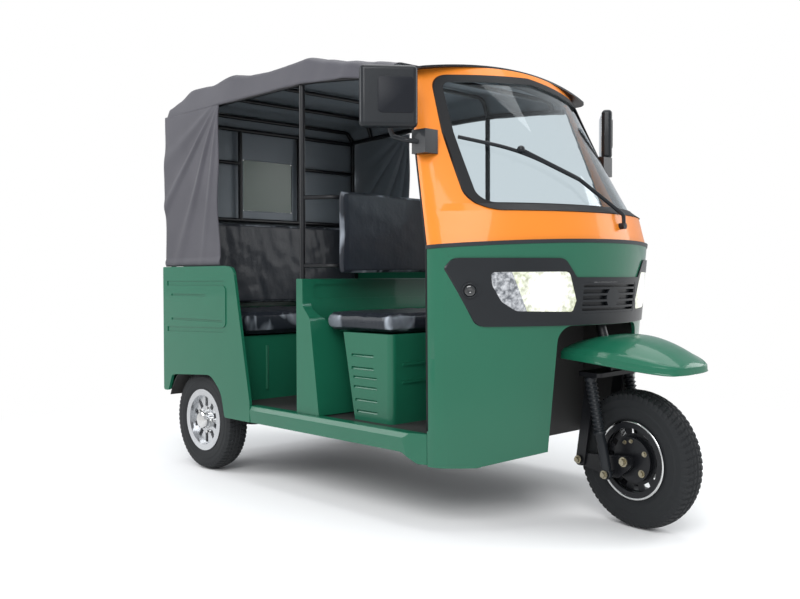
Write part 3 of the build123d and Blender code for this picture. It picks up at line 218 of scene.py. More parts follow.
# Finishes of the rigid pieces: pressed steel panels in glossy paint, black painted tubes and
# running gear, moulded plastic trim, rubber, glass, and the plated and bare metal.
GREEN = finish(
    "green_paint", (27, 97, 73), (21, 86, 64), 2.0, 0.34, 90, 0.0004, coat=0.45, sheer=0.2
)
ORANGE = finish(
    "orange_paint", (224, 131, 45), (215, 122, 38), 2.0, 0.36, 90, 0.0004, coat=0.3, sheer=0.15
)
BLACK_PAINT = finish("black_paint", (17, 18, 21), (23, 24, 27), 8, 0.34, 200, 0.0004, sheer=0.3)
UNDERSIDE = finish("underside_black", (30, 30, 31), (42, 41, 39), 6, 0.7, 120, 0.001)
BLACK_PLASTIC = finish(
    "black_plastic", (24, 27, 30), (31, 34, 38), 6, 0.36, 260, 0.0003, coat=0.15, sheer=0.2
)
RUBBER = finish("seal_rubber", (17, 18, 20), (23, 24, 26), 10, 0.5, 300, 0.0005, sheer=0.2)
TRIM_GREY = finish("seam_grey", (34, 38, 42), (42, 46, 50), 8, 0.45, 200, 0.0003, sheer=0.3)
SILVER = finish("silver_paint", (196, 198, 200), (178, 180, 183), 12, 0.22, 200, 0.0003, 0.75)
CHROME = finish("chrome", (212, 212, 210), (196, 197, 198), 10, 0.1, 150, 0.0001, 1.0)
ZINC = finish("zinc_plate", (150, 140, 112), (170, 165, 150), 30, 0.35, 200, 0.0003, 0.9)
CAST = finish("cast_metal", (70, 70, 70), (52, 52, 53), 14, 0.6, 120, 0.0012, 0.5)
TYRE = finish("tyre_rubber", (24, 26, 28), (32, 34, 36), 9, 0.68, 160, 0.0008, sheer=0.3)
VISOR = finish("visor_plastic", (24, 26, 31), (31, 33, 38), 6, 0.4, 200, 0.0003, sheer=0.15)
GLASS = clear("windscreen_glass", (198, 211, 217), 0.02, 1.25)
PLASTIC_PANE = clear("clear_plastic_pane", (90, 103, 96), 0.24)
PLASTIC_PANE.node_tree.nodes["Principled BSDF"].inputs["Transmission Weight"].default_value = 0.4
RED_LENS = finish(
    "red_lens", (140, 8, 10), (112, 5, 8), 20, 0.2, 120, 0.001, coat=0.25, sheer=0.2
)

FINISHES = [
    (GREEN, "cowl_lower side_panel_left side_panel_right rear_panel sill_left sill_right"),
    (GREEN, "partition driver_seat_box rear_seat_box front_mudguard"),
    (ORANGE, "cowl_upper"),
    (BLACK_PAINT, "roof_frame steering_fork trailing_links front_shocks front_rim front_axle"),
    (UNDERSIDE, "chassis_frame wheel_housing rear_axle leaf_springs floor_pan rear_wheel_arches"),
    (BLACK_PLASTIC, "headlamp_mask grille mirror_left mirror_right wiper instrument_shelf"),
    (RUBBER, "windscreen_seal"),
    (TRIM_GREY, "belt_seam"),
    (VISOR, "roof_visor"),
    (SILVER, "rear_rim_left rear_rim_right"),
    (CAST, "engine_block"),
    (TYRE, "front_tyre rear_tyre_left rear_tyre_right"),
    (GLASS, "windscreen_glass headlamp_left headlamp_right"),
    (PLASTIC_PANE, "rear_window"),
    (RED_LENS, "tail_lamps"),
]
for surface, names in FINISHES:
    for node_name in names.split():
        mesh = nodes[node_name].data
        mesh.materials.clear()
        mesh.materials.append(surface)

# Places of the wheels, and the steering pose: everything on the front fork is stored turned a
# little about the raked steering axis, so its pieces are made straight ahead and then turned.
STEER_STORED = math.radians(-8)
steering_joint = next(j for j in frame["joints"] if j["name"] == "steering_turn")
STEER_POINT = Vector(steering_joint["pos_m"])
STEER_REST = Matrix.Rotation(STEER_STORED, 4, Vector(steering_joint["axis"]))
STEERED = Matrix.Translation(STEER_POINT) @ STEER_REST @ Matrix.Translation(-STEER_POINT)
FRONT_AXLE_Z = 0.258
REAR_AXLE_X = FRONT_AXLE_X - 2.043
REAR_AXLE_Z = 0.242
TRACK_HALF = 0.557
SIDES = ((1, "left"), (-1, "right"))
FRONT_PLACE = STEERED @ Matrix.Translation((FRONT_AXLE_X, 0, FRONT_AXLE_Z))


def in_frame(x, y, z):
    """A place measured from the front axle, in the part's frame."""
    return (x + FRONT_AXLE_X, y, z)


def piece(name, shape, surface, body, smooth=True):
    """Turns a bmesh into a finished object that rides on a body."""
    bmesh.ops.recalc_face_normals(shape, faces=shape.faces)
    for face in shape.faces:
        face.smooth = smooth
    mesh = bpy.data.meshes.new(name)
    shape.to_mesh(mesh)
    shape.free()
    mesh.materials.append(surface)
    obj = bpy.data.objects.new(name, mesh)
    scene.collection.objects.link(obj)
    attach(obj, body)
    return obj


def spun(profile, steps):
    """A ring turned about the Y axis from (distance along the axle, radius) points."""
    shape = bmesh.new()
    verts = [shape.verts.new((0, across, radius)) for across, radius in profile]
    edges = [shape.edges.new(pair) for pair in zip(verts, verts[1:] + verts[:1])]
    bmesh.ops.spin(
        shape,
        geom=verts + edges,
        cent=(0, 0, 0),
        axis=(0, 1, 0),
        angle=2 * math.pi,
        steps=steps,
        use_merge=True,
    )
    bmesh.ops.remove_doubles(shape, verts=shape.verts, dist=1e-6)
    return shape


# Tyres: moulded rubber with ribbed shoulders and zigzag grooves cut into the tread. The groove
# depth is pressed into the spun ring, block by block.
TREAD_DEPTH = 0.0042
TREAD_STEPS = 384
TREAD_PITCHES = 64
TREAD_INSET = 0.008
SHOULDER_DROP = 0.011
FRONT_TYRE_WIDTH = 0.104
REAR_TYRE_WIDTH = 0.112
BEAD_R = 0.1285
FLANGE_R = 0.1505
GROOVE_LIMIT = 1.12  # of the tread's half width, where the ribs of the shoulder run out
GROOVE_REACH = 0.024
BLOCK_RAKE = 0.7


def tyre_profile(radius, width):
    """Half across the tyre and back: bead, side wall with its raised rings, shoulder, tread."""
    bead = width / 2 - 0.009
    shoulder_r = radius - SHOULDER_DROP
    shoulder = width / 2 - TREAD_INSET
    middle_r = (0.15 + shoulder_r) / 2
    side = [
        (bead, BEAD_R),
        (bead, FLANGE_R),
        (width / 2 - 0.003, 0.166),
        (width / 2 - 0.001, middle_r - 0.004),
        (width / 2 - 0.0025, middle_r + 0.004),
        (width / 2 - 0.002, shoulder_r - 0.022),
        (shoulder + 0.003, shoulder_r - 0.01),
    ]
    tread = []
    for share in (1, 0.86, 0.72, 0.6, 0.48, 0.4, 0.3, 0.2, 0.12, 0.04):
        tread.append((shoulder * share, radius - SHOULDER_DROP * share**2))
    half = side + tread
    return half + [(-across, r) for across, r in reversed(half)]


def grooved_tyre(name, radius, width, place, body):
    """One tyre with its tread pressed in, at its wheel's place."""
    shape = spun(tyre_profile(radius, width), TREAD_STEPS)
    shoulder = width / 2 - TREAD_INSET
    for vert in shape.verts:
        across = abs(vert.co.y) / shoulder
        out = math.hypot(vert.co.x, vert.co.z)
        if across > GROOVE_LIMIT or out < radius - GROOVE_REACH:
            continue
        turn = math.atan2(vert.co.z, vert.co.x) / (2 * math.pi) * TREAD_PITCHES
        block = (turn + across * BLOCK_RAKE) % 1.0
        if across > 0.66:
            deep = block < 0.34
        else:
            deep = 0.36 < across < 0.44 or (across > 0.15 and block < 0.2) or across < 0.05
        if deep:
            keep = (out - TREAD_DEPTH) / out
            vert.co.x *= keep
            vert.co.z *= keep
    bmesh.ops.transform(shape, matrix=place, verts=shape.verts)
    return piece(name, shape, TYRE, body, smooth=False)


tyre = grooved_tyre("tyre_front", FRONT_AXLE_Z, FRONT_TYRE_WIDTH, FRONT_PLACE, "front_wheel")
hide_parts("front_tyre")
for side, word in SIDES:
    place = Matrix.Translation((REAR_AXLE_X, side * TRACK_HALF, REAR_AXLE_Z))
    tyre = grooved_tyre(
        f"tyre_rear_{word}", REAR_AXLE_Z, REAR_TYRE_WIDTH, place, f"rear_wheel_{word}"
    )
    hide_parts(f"rear_tyre_{word}")

# Bright wheel trim: a chromed lip ring on each side of the front rim, and on the rear wheels a
# ribbed hub cap with a ring of wheel nuts.
RIM_STEPS = 96
LIP_PROFILE = [
    (0.0445, 0.1475),
    (0.0495, 0.1495),
    (0.0500, 0.1440),
    (0.0460, 0.1360),
    (0.0430, 0.1330),
]
for side in (-1, 1):
    shape = spun([(side * across, radius) for across, radius in LIP_PROFILE], RIM_STEPS)
    bmesh.ops.transform(shape, matrix=FRONT_PLACE, verts=shape.verts)
    piece(f"front_rim_lip_{side + 1}", shape, CHROME, "front_wheel")


def bolt(shape, centre, along, radius, height):
    """Adds one tapered six-sided bolt head with its washer to a mesh."""
    turn = Vector(along).to_track_quat("Z", "Y").to_matrix().to_4x4()
    washer_spot = Vector(centre) - Vector(along).normalized() * height * 0.4
    bmesh.ops.create_cone(
        shape,
        cap_ends=True,
        segments=6,
        radius1=radius,
        radius2=radius * 0.86,
        depth=height,
        matrix=Matrix.Translation(Vector(centre)) @ turn,
    )
    bmesh.ops.create_cone(
        shape,
        cap_ends=True,
        segments=20,
        radius1=radius * 1.35,
        radius2=radius * 1.3,
        depth=height * 0.3,
        matrix=Matrix.Translation(washer_spot) @ turn,
    )


CAP_PROFILE = [
    (0.024, 0.001),
    (0.024, 0.0435),
    (0.040, 0.0435),
    (0.043, 0.0405),
    (0.046, 0.0405),
    (0.048, 0.0425),
    (0.056, 0.0425),
    (0.062, 0.0400),
    (0.066, 0.0330),
    (0.068, 0.0180),
    (0.0685, 0.001),
]
CAP_STEPS = 60
CAP_RIBS = 30
RIB_DEPTH = 0.03
WHEEL_NUTS = 5
NUT_RING_R = 0.060
NUT_OUT = 0.036
NUT_R = 0.0085
NUT_TALL = 0.014
for side, word in SIDES:
    place = Matrix.Translation((REAR_AXLE_X, side * TRACK_HALF, REAR_AXLE_Z))
    shape = spun([(side * across, radius) for across, radius in CAP_PROFILE], CAP_STEPS)
    for vert in shape.verts:
        out = math.hypot(vert.co.x, vert.co.z)
        if abs(vert.co.y) < 0.056 and out > 0.04:
            step = round(math.atan2(vert.co.z, vert.co.x) * CAP_RIBS / math.pi)
            rib = 1 - RIB_DEPTH * (step % 2)
            vert.co.x *= rib
            vert.co.z *= rib
    for nut in range(WHEEL_NUTS):
        angle = 2 * math.pi * nut / WHEEL_NUTS
        spot = (NUT_RING_R * math.cos(angle), side * NUT_OUT, NUT_RING_R * math.sin(angle))
        bolt(shape, spot, (0, side, 0), NUT_R, NUT_TALL)
    bmesh.ops.transform(shape, matrix=place, verts=shape.verts)
    piece(f"hub_cap_{word}", shape, CHROME, f"rear_wheel_{word}", smooth=False)

# Plated nuts and bolts of the front suspension, on both sides, and of the brake plate, on the
# right. The rows are x, y, z from the axle and radius, and on the plate x, z and radius.
FORK_BOLTS = [
    (0.0, 0.091, 0.0, 0.014),
    (-0.222, 0.092, -0.026, 0.012),
    (-0.062, 0.127, -0.052, 0.012),
]
PLATE_BOLTS = [
    (0.060, 0.030, 0.008),
    (0.045, -0.045, 0.011),
    (-0.030, 0.062, 0.006),
    (0.0, 0.070, 0.006),
]
PLATE_Y = -0.046
shape = bmesh.new()
for x, y, z, radius in FORK_BOLTS:
    for side in (-1, 1):
        bolt(shape, (x, side * (y + 0.004), z), (0, side, 0), radius, 0.012)
for x, z, radius in PLATE_BOLTS:
    bolt(shape, (x, PLATE_Y, z), (0, -1, 0), radius, 0.008)
bmesh.ops.transform(shape, matrix=FRONT_PLACE, verts=shape.verts)
piece("fork_bolts", shape, ZINC, "steering", smooth=False)

# Head lamps: a lit inner chamber and an unlit outer reflector, parted by a slanted rib. Both are
# drawn on the front skin of the lamp's own solid; its back, inside the cab, stays dark.
RIB_SLOPE = 0.406
RIB_START = 0.059
BULB_Y = 0.315
BULB_Z = 0.883
BULB_LIGHT = 1.9
BULB_FALL = 190.0
EDGE_LIGHT = 0.62
SKIN_X = FRONT_AXLE_X - 0.130
SKIN_CURVE = 0.68
LAMP = finish("headlamp_lens", (226, 229, 234), (96, 101, 108), 66, 0.12, 90, 0.004, 0.8, 1.0)
tree = LAMP.node_tree
shader = tree.nodes["Principled BSDF"]
place = tree.nodes.new("ShaderNodeTexCoord")
parts = tree.nodes.new("ShaderNodeSeparateXYZ")
tree.links.new(place.outputs["Object"], parts.inputs["Vector"])
facets = tree.nodes.new("ShaderNodeMapRange")
facets.inputs["From Min"].default_value = 0.30
facets.inputs["From Max"].default_value = 0.66
shade_mix = shader.inputs["Base Color"].links[0].from_node
tree.links.new(shade_mix.inputs["Factor"].links[0].from_socket, facets.inputs["Value"])


def sum_node(kind, first, second):
    """One arithmetic node in the lamp's material, fed by sockets or numbers."""
    node = tree.nodes.new("ShaderNodeMath")
    node.operation = kind
    for slot_index, value in enumerate((first, second)):
        if isinstance(value, (int, float)):
            node.inputs[slot_index].default_value = value
        elif value is not None:
            tree.links.new(value, node.inputs[slot_index])
    return node.outputs[0]


across = sum_node("ABSOLUTE", parts.outputs["Y"], None)
rib_y = sum_node("ADD", sum_node("MULTIPLY", parts.outputs["Z"], RIB_SLOPE), RIB_START)
inner = sum_node("LESS_THAN", across, rib_y)
aside = sum_node("ABSOLUTE", sum_node("SUBTRACT", across, BULB_Y), None)
above = sum_node("ABSOLUTE", sum_node("SUBTRACT", parts.outputs["Z"], BULB_Z), None)
apart = sum_node("ADD", sum_node("POWER", aside, 2.0), sum_node("POWER", above, 2.0))
fall = sum_node("SUBTRACT", BULB_LIGHT, sum_node("MULTIPLY", apart, BULB_FALL))
lit = sum_node("MULTIPLY", sum_node("MAXIMUM", fall, EDGE_LIGHT), inner)
curve = sum_node("MULTIPLY", sum_node("POWER", across, 2.0), SKIN_CURVE)
skin_x = sum_node("SUBTRACT", SKIN_X, curve)
front = sum_node("GREATER_THAN", parts.outputs["X"], skin_x)
glow = sum_node("MULTIPLY", lit, front)
behind = sum_node("SUBTRACT", 1.0, front)
facet_share = sum_node("MAXIMUM", facets.outputs["Result"], behind)
tree.links.new(facet_share, shade_mix.inputs["Factor"])
sparkle = tree.nodes.new("ShaderNodeTexVoronoi")
sparkle.inputs["Scale"].default_value = 95
tree.links.new(place.outputs["Object"], sparkle.inputs["Vector"])
fleck = sum_node("SUBTRACT", 1.05, sum_node("MULTIPLY", sparkle.outputs["Distance"], 0.35))
tree.links.new(sum_node("MULTIPLY", glow, fleck), shader.inputs["Emission Strength"])
warm = tree.nodes.new("ShaderNodeMix")
warm.data_type = "RGBA"
warm.inputs["A"].default_value = (0.88, 0.93, 0.52, 1)
warm.inputs["B"].default_value = (1.0, 0.98, 0.86, 1)
tree.links.new(sum_node("MULTIPLY", fall, 0.7), warm.inputs["Factor"])
tree.links.new(warm.outputs["Result"], shader.inputs["Emission Color"])
for node_name in ("headlamp_left", "headlamp_right"):
    nodes[node_name].data.materials[0] = LAMP

# Canvas: a coated grey cloth with a fine weave and a paler lining. The roof is stretched over the
# bows and sags between them, and its skirts hang over the side rails.
CLOTH_THICK = 0.003
CANVAS = finish("canvas_cloth", (68, 67, 74), (55, 54, 61), 4, 0.6, 900, 0.0012, sheer=0.35)
canvas_shader = CANVAS.node_tree.nodes["Principled BSDF"]
canvas_shader.inputs["Sheen Weight"].default_value = 0.12
LINING = finish("canvas_inner_face", (112, 119, 126), (98, 106, 112), 3, 0.55, 700, 0.0012)


def cloth_wall(cloth, outward):
    """Gives a canvas sheet its thickness, with the weather face outward and a lining inside."""
    facing = sum((face.normal * face.area for face in cloth.data.polygons), Vector())
    if facing.dot(Vector(outward)) < 0:
        cloth.data.flip_normals()
    cloth.data.materials.append(LINING)
    wall = cloth.modifiers.new("cloth", "SOLIDIFY")
    wall.thickness = CLOTH_THICK
    wall.offset = -1
    wall.material_offset = 1


# Each station: x from the axle, hem height, top height, half width at the hem and at the eave
ROOF_STATIONS = [
    (-2.345, 1.726, 1.806, 0.626, 0.592),
    (-2.250, 1.732, 1.830, 0.626, 0.588),
    (-2.150, 1.738, 1.872, 0.626, 0.584),
    (-1.990, 1.741, 1.866, 0.626, 0.584),
    (-1.820, 1.746, 1.888, 0.626, 0.582),
    (-1.680, 1.748, 1.866, 0.626, 0.584),
    (-1.540, 1.749, 1.860, 0.626, 0.584),
    (-1.400, 1.750, 1.862, 0.626, 0.584),
    (-1.256, 1.750, 1.872, 0.626, 0.584),
    (-1.120, 1.742, 1.842, 0.624, 0.581),
    (-0.980, 1.733, 1.812, 0.622, 0.578),
    (-0.860, 1.719, 1.792, 0.600, 0.556),
    (-0.752, 1.705, 1.776, 0.574, 0.534),
]
ROOF_LONG = 120
ROOF_WIDE = 96
SKIRT_FROM = 0.84
EAVE_OUT = 0.012
EAVE_DROP = 0.016


def roof_station(x):
    """The roof's hem height, top height and half widths at one place along it."""
    for rear, front in zip(ROOF_STATIONS, ROOF_STATIONS[1:]):
        if x <= front[0]:
            share = (x - rear[0]) / (front[0] - rear[0])
            share = share * share * (3 - 2 * share) * 0.5 + share * 0.5
            return [a + (b - a) * share for a, b in zip(rear[1:], front[1:])]
    return ROOF_STATIONS[-1][1:]


shape = bmesh.new()
bmesh.ops.create_grid(shape, x_segments=ROOF_LONG, y_segments=ROOF_WIDE, size=0.5)
roof_start = ROOF_STATIONS[0][0]
roof_length = ROOF_STATIONS[-1][0] - roof_start
for vert in shape.verts:
    x = roof_start + (vert.co.x + 0.5) * roof_length
    hem, high_z, half, top_half = roof_station(x)
    v = vert.co.y * 2
    side = 1 if v > 0 else -1
    reach = abs(v)
    if reach > SKIRT_FROM:
        share = (reach - SKIRT_FROM) / (1 - SKIRT_FROM)
        y = top_half + EAVE_OUT + (half - top_half - EAVE_OUT) * share
        z = high_z - EAVE_DROP + (hem - high_z + EAVE_DROP) * share
    else:
        share = reach / SKIRT_FROM
        y = share * (top_half + EAVE_OUT)
        z = high_z + 0.006 * (1 - share**2) - EAVE_DROP * max(0.0, (share - 0.93) / 0.07) ** 1.6
    pull = noise.noise(Vector((x * 9.0, y * 2.2, 3.0))) * 0.006
    fine = noise.noise(Vector((x * 30.0, y * 7.0, 9.0))) * 0.0016
    lift = (pull + fine) * (1 - 0.55 * reach)
    z += lift - 0.004 * (1 - reach)
    vert.co = in_frame(x, side * y, z)
roof = piece("canvas_roof", shape, CANVAS, "body")
cloth_wall(roof, (0, 0, 1))
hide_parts("canopy_roof")

# Rear quarter flaps: loose canvas hung from the rail, drawn into folds that fan out from the
# top front corner, with a rolled hem low down, just over the side panel.
FLAP_FRONT = -1.850
FLAP_REAR = -2.345
FLAP_TOP = 1.745
FLAP_LOW = 0.9915
FLAP_OUT = 0.630
FLAP_COLUMNS = 60
FLAP_ROWS = 80
HEM_SHARE = 0.05
# Each fold: its angle from straight down, its spread and its height
FOLDS = [(0.20, 0.035, 0.010), (0.46, 0.045, 0.018), (0.80, 0.040, 0.015), (1.08, 0.09, 0.010)]


def flap_swell(x, z):
    """How far the flap stands out at a place: ridges fanned about its top front corner."""
    back = FLAP_FRONT - x
    down = FLAP_TOP - z + 0.03
    angle = math.atan2(back, down)
    span = math.hypot(back, down)
    swell = 0.0
    for fold_angle, spread, height in FOLDS:
        swell += height * math.exp(-(((angle - fold_angle) / spread) ** 2)) * min(1.0, span * 4)
    fade = 1 - 0.75 * min(1.0, max(0.0, (FLAP_TOP - z) / 0.72))
    return swell * fade + 0.004 * noise.noise(Vector((x * 5, z * 4, 1.0)))


for side, word in SIDES:
    shape = bmesh.new()
    bmesh.ops.create_grid(shape, x_segments=FLAP_COLUMNS, y_segments=FLAP_ROWS, size=0.5)
    for vert in shape.verts:
        u = vert.co.x + 0.5
        w = vert.co.y + 0.5
        z = FLAP_LOW + w * (FLAP_TOP - FLAP_LOW)
        front = FLAP_FRONT - 0.014 * math.sin(w * math.pi) + 0.006 * math.sin(w * 11.0 + 0.6)
        rear = FLAP_REAR + 0.010 * math.sin(w * 9.0) * math.sin(w * math.pi)
        x = rear + u * (front - rear)
        y = FLAP_OUT + flap_swell(x, z)
        if w < HEM_SHARE:
            y += 0.005 * math.sin(w / HEM_SHARE * math.pi)
        vert.co = in_frame(x, side * y, z)
    flap = piece(f"canvas_flap_{word}", shape, CANVAS, "body")
    cloth_wall(flap, (0, side, 0))
    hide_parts(f"canopy_flap_{word}")

# Canvas rear wall: one sheet on the rear frame that follows the roof's outline at the top, with
# a window opening bound by a doubled hem. The clear pane is held in that hem.
BACK_X = -2.345 + FRONT_AXLE_X
WINDOW_HALF = 0.165
WINDOW_LOW = 1.300
WINDOW_HIGH = 1.575
WALL_LOW = 0.997
WALL_HALF = 0.618
CORNER_Y = 0.604
EAVE_Y = 0.580
STILL_RIM = 0.05  # the height above and below the window in which the folds die away
WALL_COLUMNS = 92
WALL_ROWS = 82
ACROSS_STEPS = [(-WALL_HALF, 0), (-WINDOW_HALF, 34), (WINDOW_HALF, 58), (WALL_HALF, WALL_COLUMNS)]
WINDOW_STEPS = [(WINDOW_LOW, 34), (WINDOW_HIGH, 60)]


def stepped(steps, line):
    """The place of one grid line, so that the window's edges fall on lines."""
    for (from_place, from_step), (to_place, to_step) in zip(steps, steps[1:]):
        if line <= to_step:
            share = (line - from_step) / (to_step - from_step)
            return from_place + (to_place - from_place) * share
    return steps[-1][0]


def gable_top(y):
    """The height of the rear wall's top edge at a place across it."""
    reach = abs(y)
    if reach > CORNER_Y:
        return 1.780 - (reach - CORNER_Y) * 3.6
    if reach > EAVE_Y:
        return 1.802 - (reach - EAVE_Y) * 0.9
    return 1.809 - 0.007 * reach / EAVE_Y


shape = bmesh.new()
bmesh.ops.create_grid(shape, x_segments=WALL_COLUMNS, y_segments=WALL_ROWS, size=0.5)
for vert in shape.verts:
    column = round((vert.co.x + 0.5) * WALL_COLUMNS)
    row = round((vert.co.y + 0.5) * WALL_ROWS)
    y = stepped(ACROSS_STEPS, column)
    z = stepped([(WALL_LOW, 0)] + WINDOW_STEPS + [(gable_top(y), WALL_ROWS)], row)
    edge = 1.0
    if WINDOW_LOW - STILL_RIM < z < WINDOW_HIGH + STILL_RIM:
        edge = min(1.0, abs(abs(y) - WINDOW_HALF) / 0.04)
    fold = 0.004 * noise.noise(Vector((y * 3.0, z * 9.0, 4.0))) + 0.003 * math.sin(y * 26 + 2.0 * z)
    vert.co = Vector((BACK_X + 0.003 + fold * edge * 0.7, y, z))
hole = [
    face
    for face in shape.faces
    if abs(face.calc_center_median().y) < WINDOW_HALF
    and WINDOW_LOW < face.calc_center_median().z < WINDOW_HIGH
]
bmesh.ops.delete(shape, geom=hole, context="FACES")
back_wall = piece("canvas_rear_wall", shape, CANVAS, "body")
cloth_wall(back_wall, (-1, 0, 0))
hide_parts("canopy_rear_wall")

HEM_W = 0.032
shape = bmesh.new()
window_mid = (WINDOW_LOW + WINDOW_HIGH) / 2
window_tall = (WINDOW_HIGH - WINDOW_LOW) / 2
rings = []
for grow, out in ((0.0, 0.0005), (0.002, -0.0018), (HEM_W - 0.002, -0.0018), (HEM_W, 0.0015)):
    half = WINDOW_HALF + grow
    tall = window_tall + grow
    rings.append(
        [
            shape.verts.new((BACK_X + out, side_y * half, window_mid + side_z * tall))
            for side_y, side_z in ((-1, -1), (1, -1), (1, 1), (-1, 1))
        ]
    )
for inner_ring, outer_ring in zip(rings, rings[1:]):
    for corner in range(4):
        shape.faces.new(
            (
                inner_ring[corner],
                inner_ring[(corner + 1) % 4],
                outer_ring[(corner + 1) % 4],
                outer_ring[corner],
            )
        )
piece("window_hem", shape, CANVAS, "body", smooth=False)

# Seats: black vinyl over foam, still in clear wrapping film that is crumpled at the edges. The
# film's pale, bright look there is painted highlight, partly its own whitish colour: a pale colour
# mixed in where the pads' per-vertex crumple value and a ridged noise add up.
PAD_CUTS = 63
EDGE_START = 0.965
# the painted film highlight grows from this share of the half width towards the rim
HIGHLIGHT_START = 0.90
CORNER_PINCH = 0.022
SIDE_BULGE = 0.010
SIDE_WAIST = 0.014
VINYL = finish(
    "film_wrapped_vinyl", (27, 31, 38), (36, 40, 47), 5, 0.42, 60, 0.002, coat=0.08, sheer=0.25
)
vinyl_tree = VINYL.node_tree
vinyl_shader = vinyl_tree.nodes["Principled BSDF"]
vinyl_place = vinyl_tree.nodes.new("ShaderNodeTexCoord")
drawn = vinyl_tree.nodes.new("ShaderNodeMapping")
drawn.inputs["Scale"].default_value = (9.0, 9.0, 5.0)
crinkle = vinyl_tree.nodes.new("ShaderNodeTexNoise")
crinkle.noise_type = "RIDGED_MULTIFRACTAL"
crinkle.inputs["Scale"].default_value = 1.6
crinkle.inputs["Detail"].default_value = 5.0
crinkle.inputs["Distortion"].default_value = 1.2
# painted highlight streaks: the crumple value plus the ridged noise, ranged to how much pale film
# colour shows
highlight_streak = vinyl_tree.nodes.new("ShaderNodeMapRange")
highlight_streak.inputs["From Min"].default_value = 1.45
highlight_streak.inputs["From Max"].default_value = 2.15
crumple_and_highlight = vinyl_tree.nodes.new("ShaderNodeAttribute")
crumple_and_highlight.attribute_name = "film_crumple_and_highlight"
folded = vinyl_tree.nodes.new("ShaderNodeMath")
folded.operation = "MULTIPLY_ADD"
folded.inputs[1].default_value = 1.7
relief = vinyl_tree.nodes.new("ShaderNodeMapRange")
relief.inputs["To Min"].default_value = 0.12
relief.inputs["To Max"].default_value = 0.9
# painted highlight: the pale film colour mixed over the vinyl stands in for the crumpled film's
# glints, and partly for its own whitish look
film_highlight = vinyl_tree.nodes.new("ShaderNodeMix")
film_highlight.data_type = "RGBA"
film_highlight.inputs["B"].default_value = linear(150, 157, 166)
vinyl_links = vinyl_tree.links
vinyl_links.new(vinyl_place.outputs["Object"], drawn.inputs["Vector"])
vinyl_links.new(drawn.outputs["Vector"], crinkle.inputs["Vector"])
vinyl_links.new(crumple_and_highlight.outputs["Fac"], folded.inputs[0])
vinyl_links.new(crinkle.outputs["Fac"], folded.inputs[2])
vinyl_links.new(folded.outputs[0], highlight_streak.inputs["Value"])
vinyl_links.new(crumple_and_highlight.outputs["Fac"], relief.inputs["Value"])
vinyl_links.new(highlight_streak.outputs["Result"], film_highlight.inputs["Factor"])
vinyl_links.new(vinyl_shader.inputs["Base Color"].links[0].from_socket, film_highlight.inputs["A"])
vinyl_links.new(film_highlight.outputs["Result"], vinyl_shader.inputs["Base Color"])
crinkle_bump = vinyl_tree.nodes.new("ShaderNodeBump")
crinkle_bump.inputs["Distance"].default_value = 0.005
vinyl_links.new(relief.outputs["Result"], crinkle_bump.inputs["Strength"])
vinyl_links.new(crinkle.outputs["Fac"], crinkle_bump.inputs["Height"])
vinyl_links.new(vinyl_shader.inputs["Normal"].links[0].from_socket, crinkle_bump.inputs["Normal"])
vinyl_links.new(crinkle_bump.outputs["Normal"], vinyl_shader.inputs["Normal"])


def wrapped_pad(name, low, high, crown_axis, node, wrinkle, lean=0.0, folds=0.0, loose=0.0):
    """A foam pad between two corners, crowned, pinched at its corners and creased by the film."""
    shape = bmesh.new()
    bmesh.ops.create_cube(shape, size=2.0)
    low = Vector(low)
    high = Vector(high)
    size = high - low
    mid = (low + high) / 2
    bmesh.ops.subdivide_edges(shape, edges=shape.edges, cuts=PAD_CUTS, use_grid_fill=True)
    across = [axis for axis in range(3) if axis != crown_axis]
    crumple_highlight_layer = shape.verts.layers.float.new("film_crumple_and_highlight")
    for vert in shape.verts:
        unit = vert.co.copy()
        first = abs(unit[across[0]])
        second = abs(unit[across[1]])
        deep = unit[crown_axis]
        crown = (1 - first**4) * (1 - second**4)
        squeeze = 1 - CORNER_PINCH * (first**8) * (second**8)
        spot = Vector((0, 0, 0))
        spot[across[0]] = mid[across[0]] + unit[across[0]] * size[across[0]] / 2
        spot[across[1]] = mid[across[1]] + unit[across[1]] * size[across[1]] / 2
        near_first = max(0.0, first - EDGE_START) / (1 - EDGE_START)
        near_second = max(0.0, second - EDGE_START) / (1 - EDGE_START)
        edge_drop = 0.30 * min(1.0, near_first**2 + near_second**2)
        thick = size[crown_axis] / 2 * (0.86 + 0.14 * crown) * (1 - edge_drop * abs(deep) ** 3)
        spot[crown_axis] = mid[crown_axis] + deep * thick
        for axis in across:
            bulge = SIDE_BULGE * (1 - deep**2)
            edge_share = abs(unit[axis]) ** 12
            other = across[0] if axis == across[1] else across[1]
            waist = SIDE_WAIST * (1 - unit[other] ** 2)
            sign = 1 if unit[axis] > 0 else -1
            spot[axis] += sign * edge_share * (bulge - SIDE_BULGE - waist * 0.5)
        spot = mid + (spot - mid) * squeeze
        rough = noise.noise(spot * 14.0) + 0.6 * noise.noise(spot * Vector((30.0, 30.0, 22.0)))
        spot[crown_axis] += wrinkle * rough * (1 if deep > 0 else -0.2)
        if folds:
            hang = abs(noise.noise(Vector((0, spot.y * 24.0 + spot.z * 4.0, spot.z * 2.0))))
            spot.x += folds * (0.5 - hang) * (0.6 + 0.4 * (high.z - spot.z) / size.z)
        spot.x -= lean * (spot.z - low.z)
        # painted highlight of the crumpled film, stored per vertex: strongest along the rim and the
        # side faces, patchy by noise, with loose adding patches anywhere; the same value sets the
        # crinkle bump's strength
        rim = max(first, second)
        painted_highlight = max(0.0, (rim - HIGHLIGHT_START) / (1 - HIGHLIGHT_START)) * 0.8
        if rim > 0.999 and abs(deep) < 0.97:
            painted_highlight = 1.0
        painted_highlight *= 0.55 + 0.9 * max(0.0, noise.noise(spot * 7.0) + 0.35)
        vert[crumple_highlight_layer] = min(1.0, painted_highlight + loose * max(0.0, noise.noise(spot * 4.0) + 0.1))
        vert.co = spot
    pad = piece(name, shape, VINYL, "body")
    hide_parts(node)


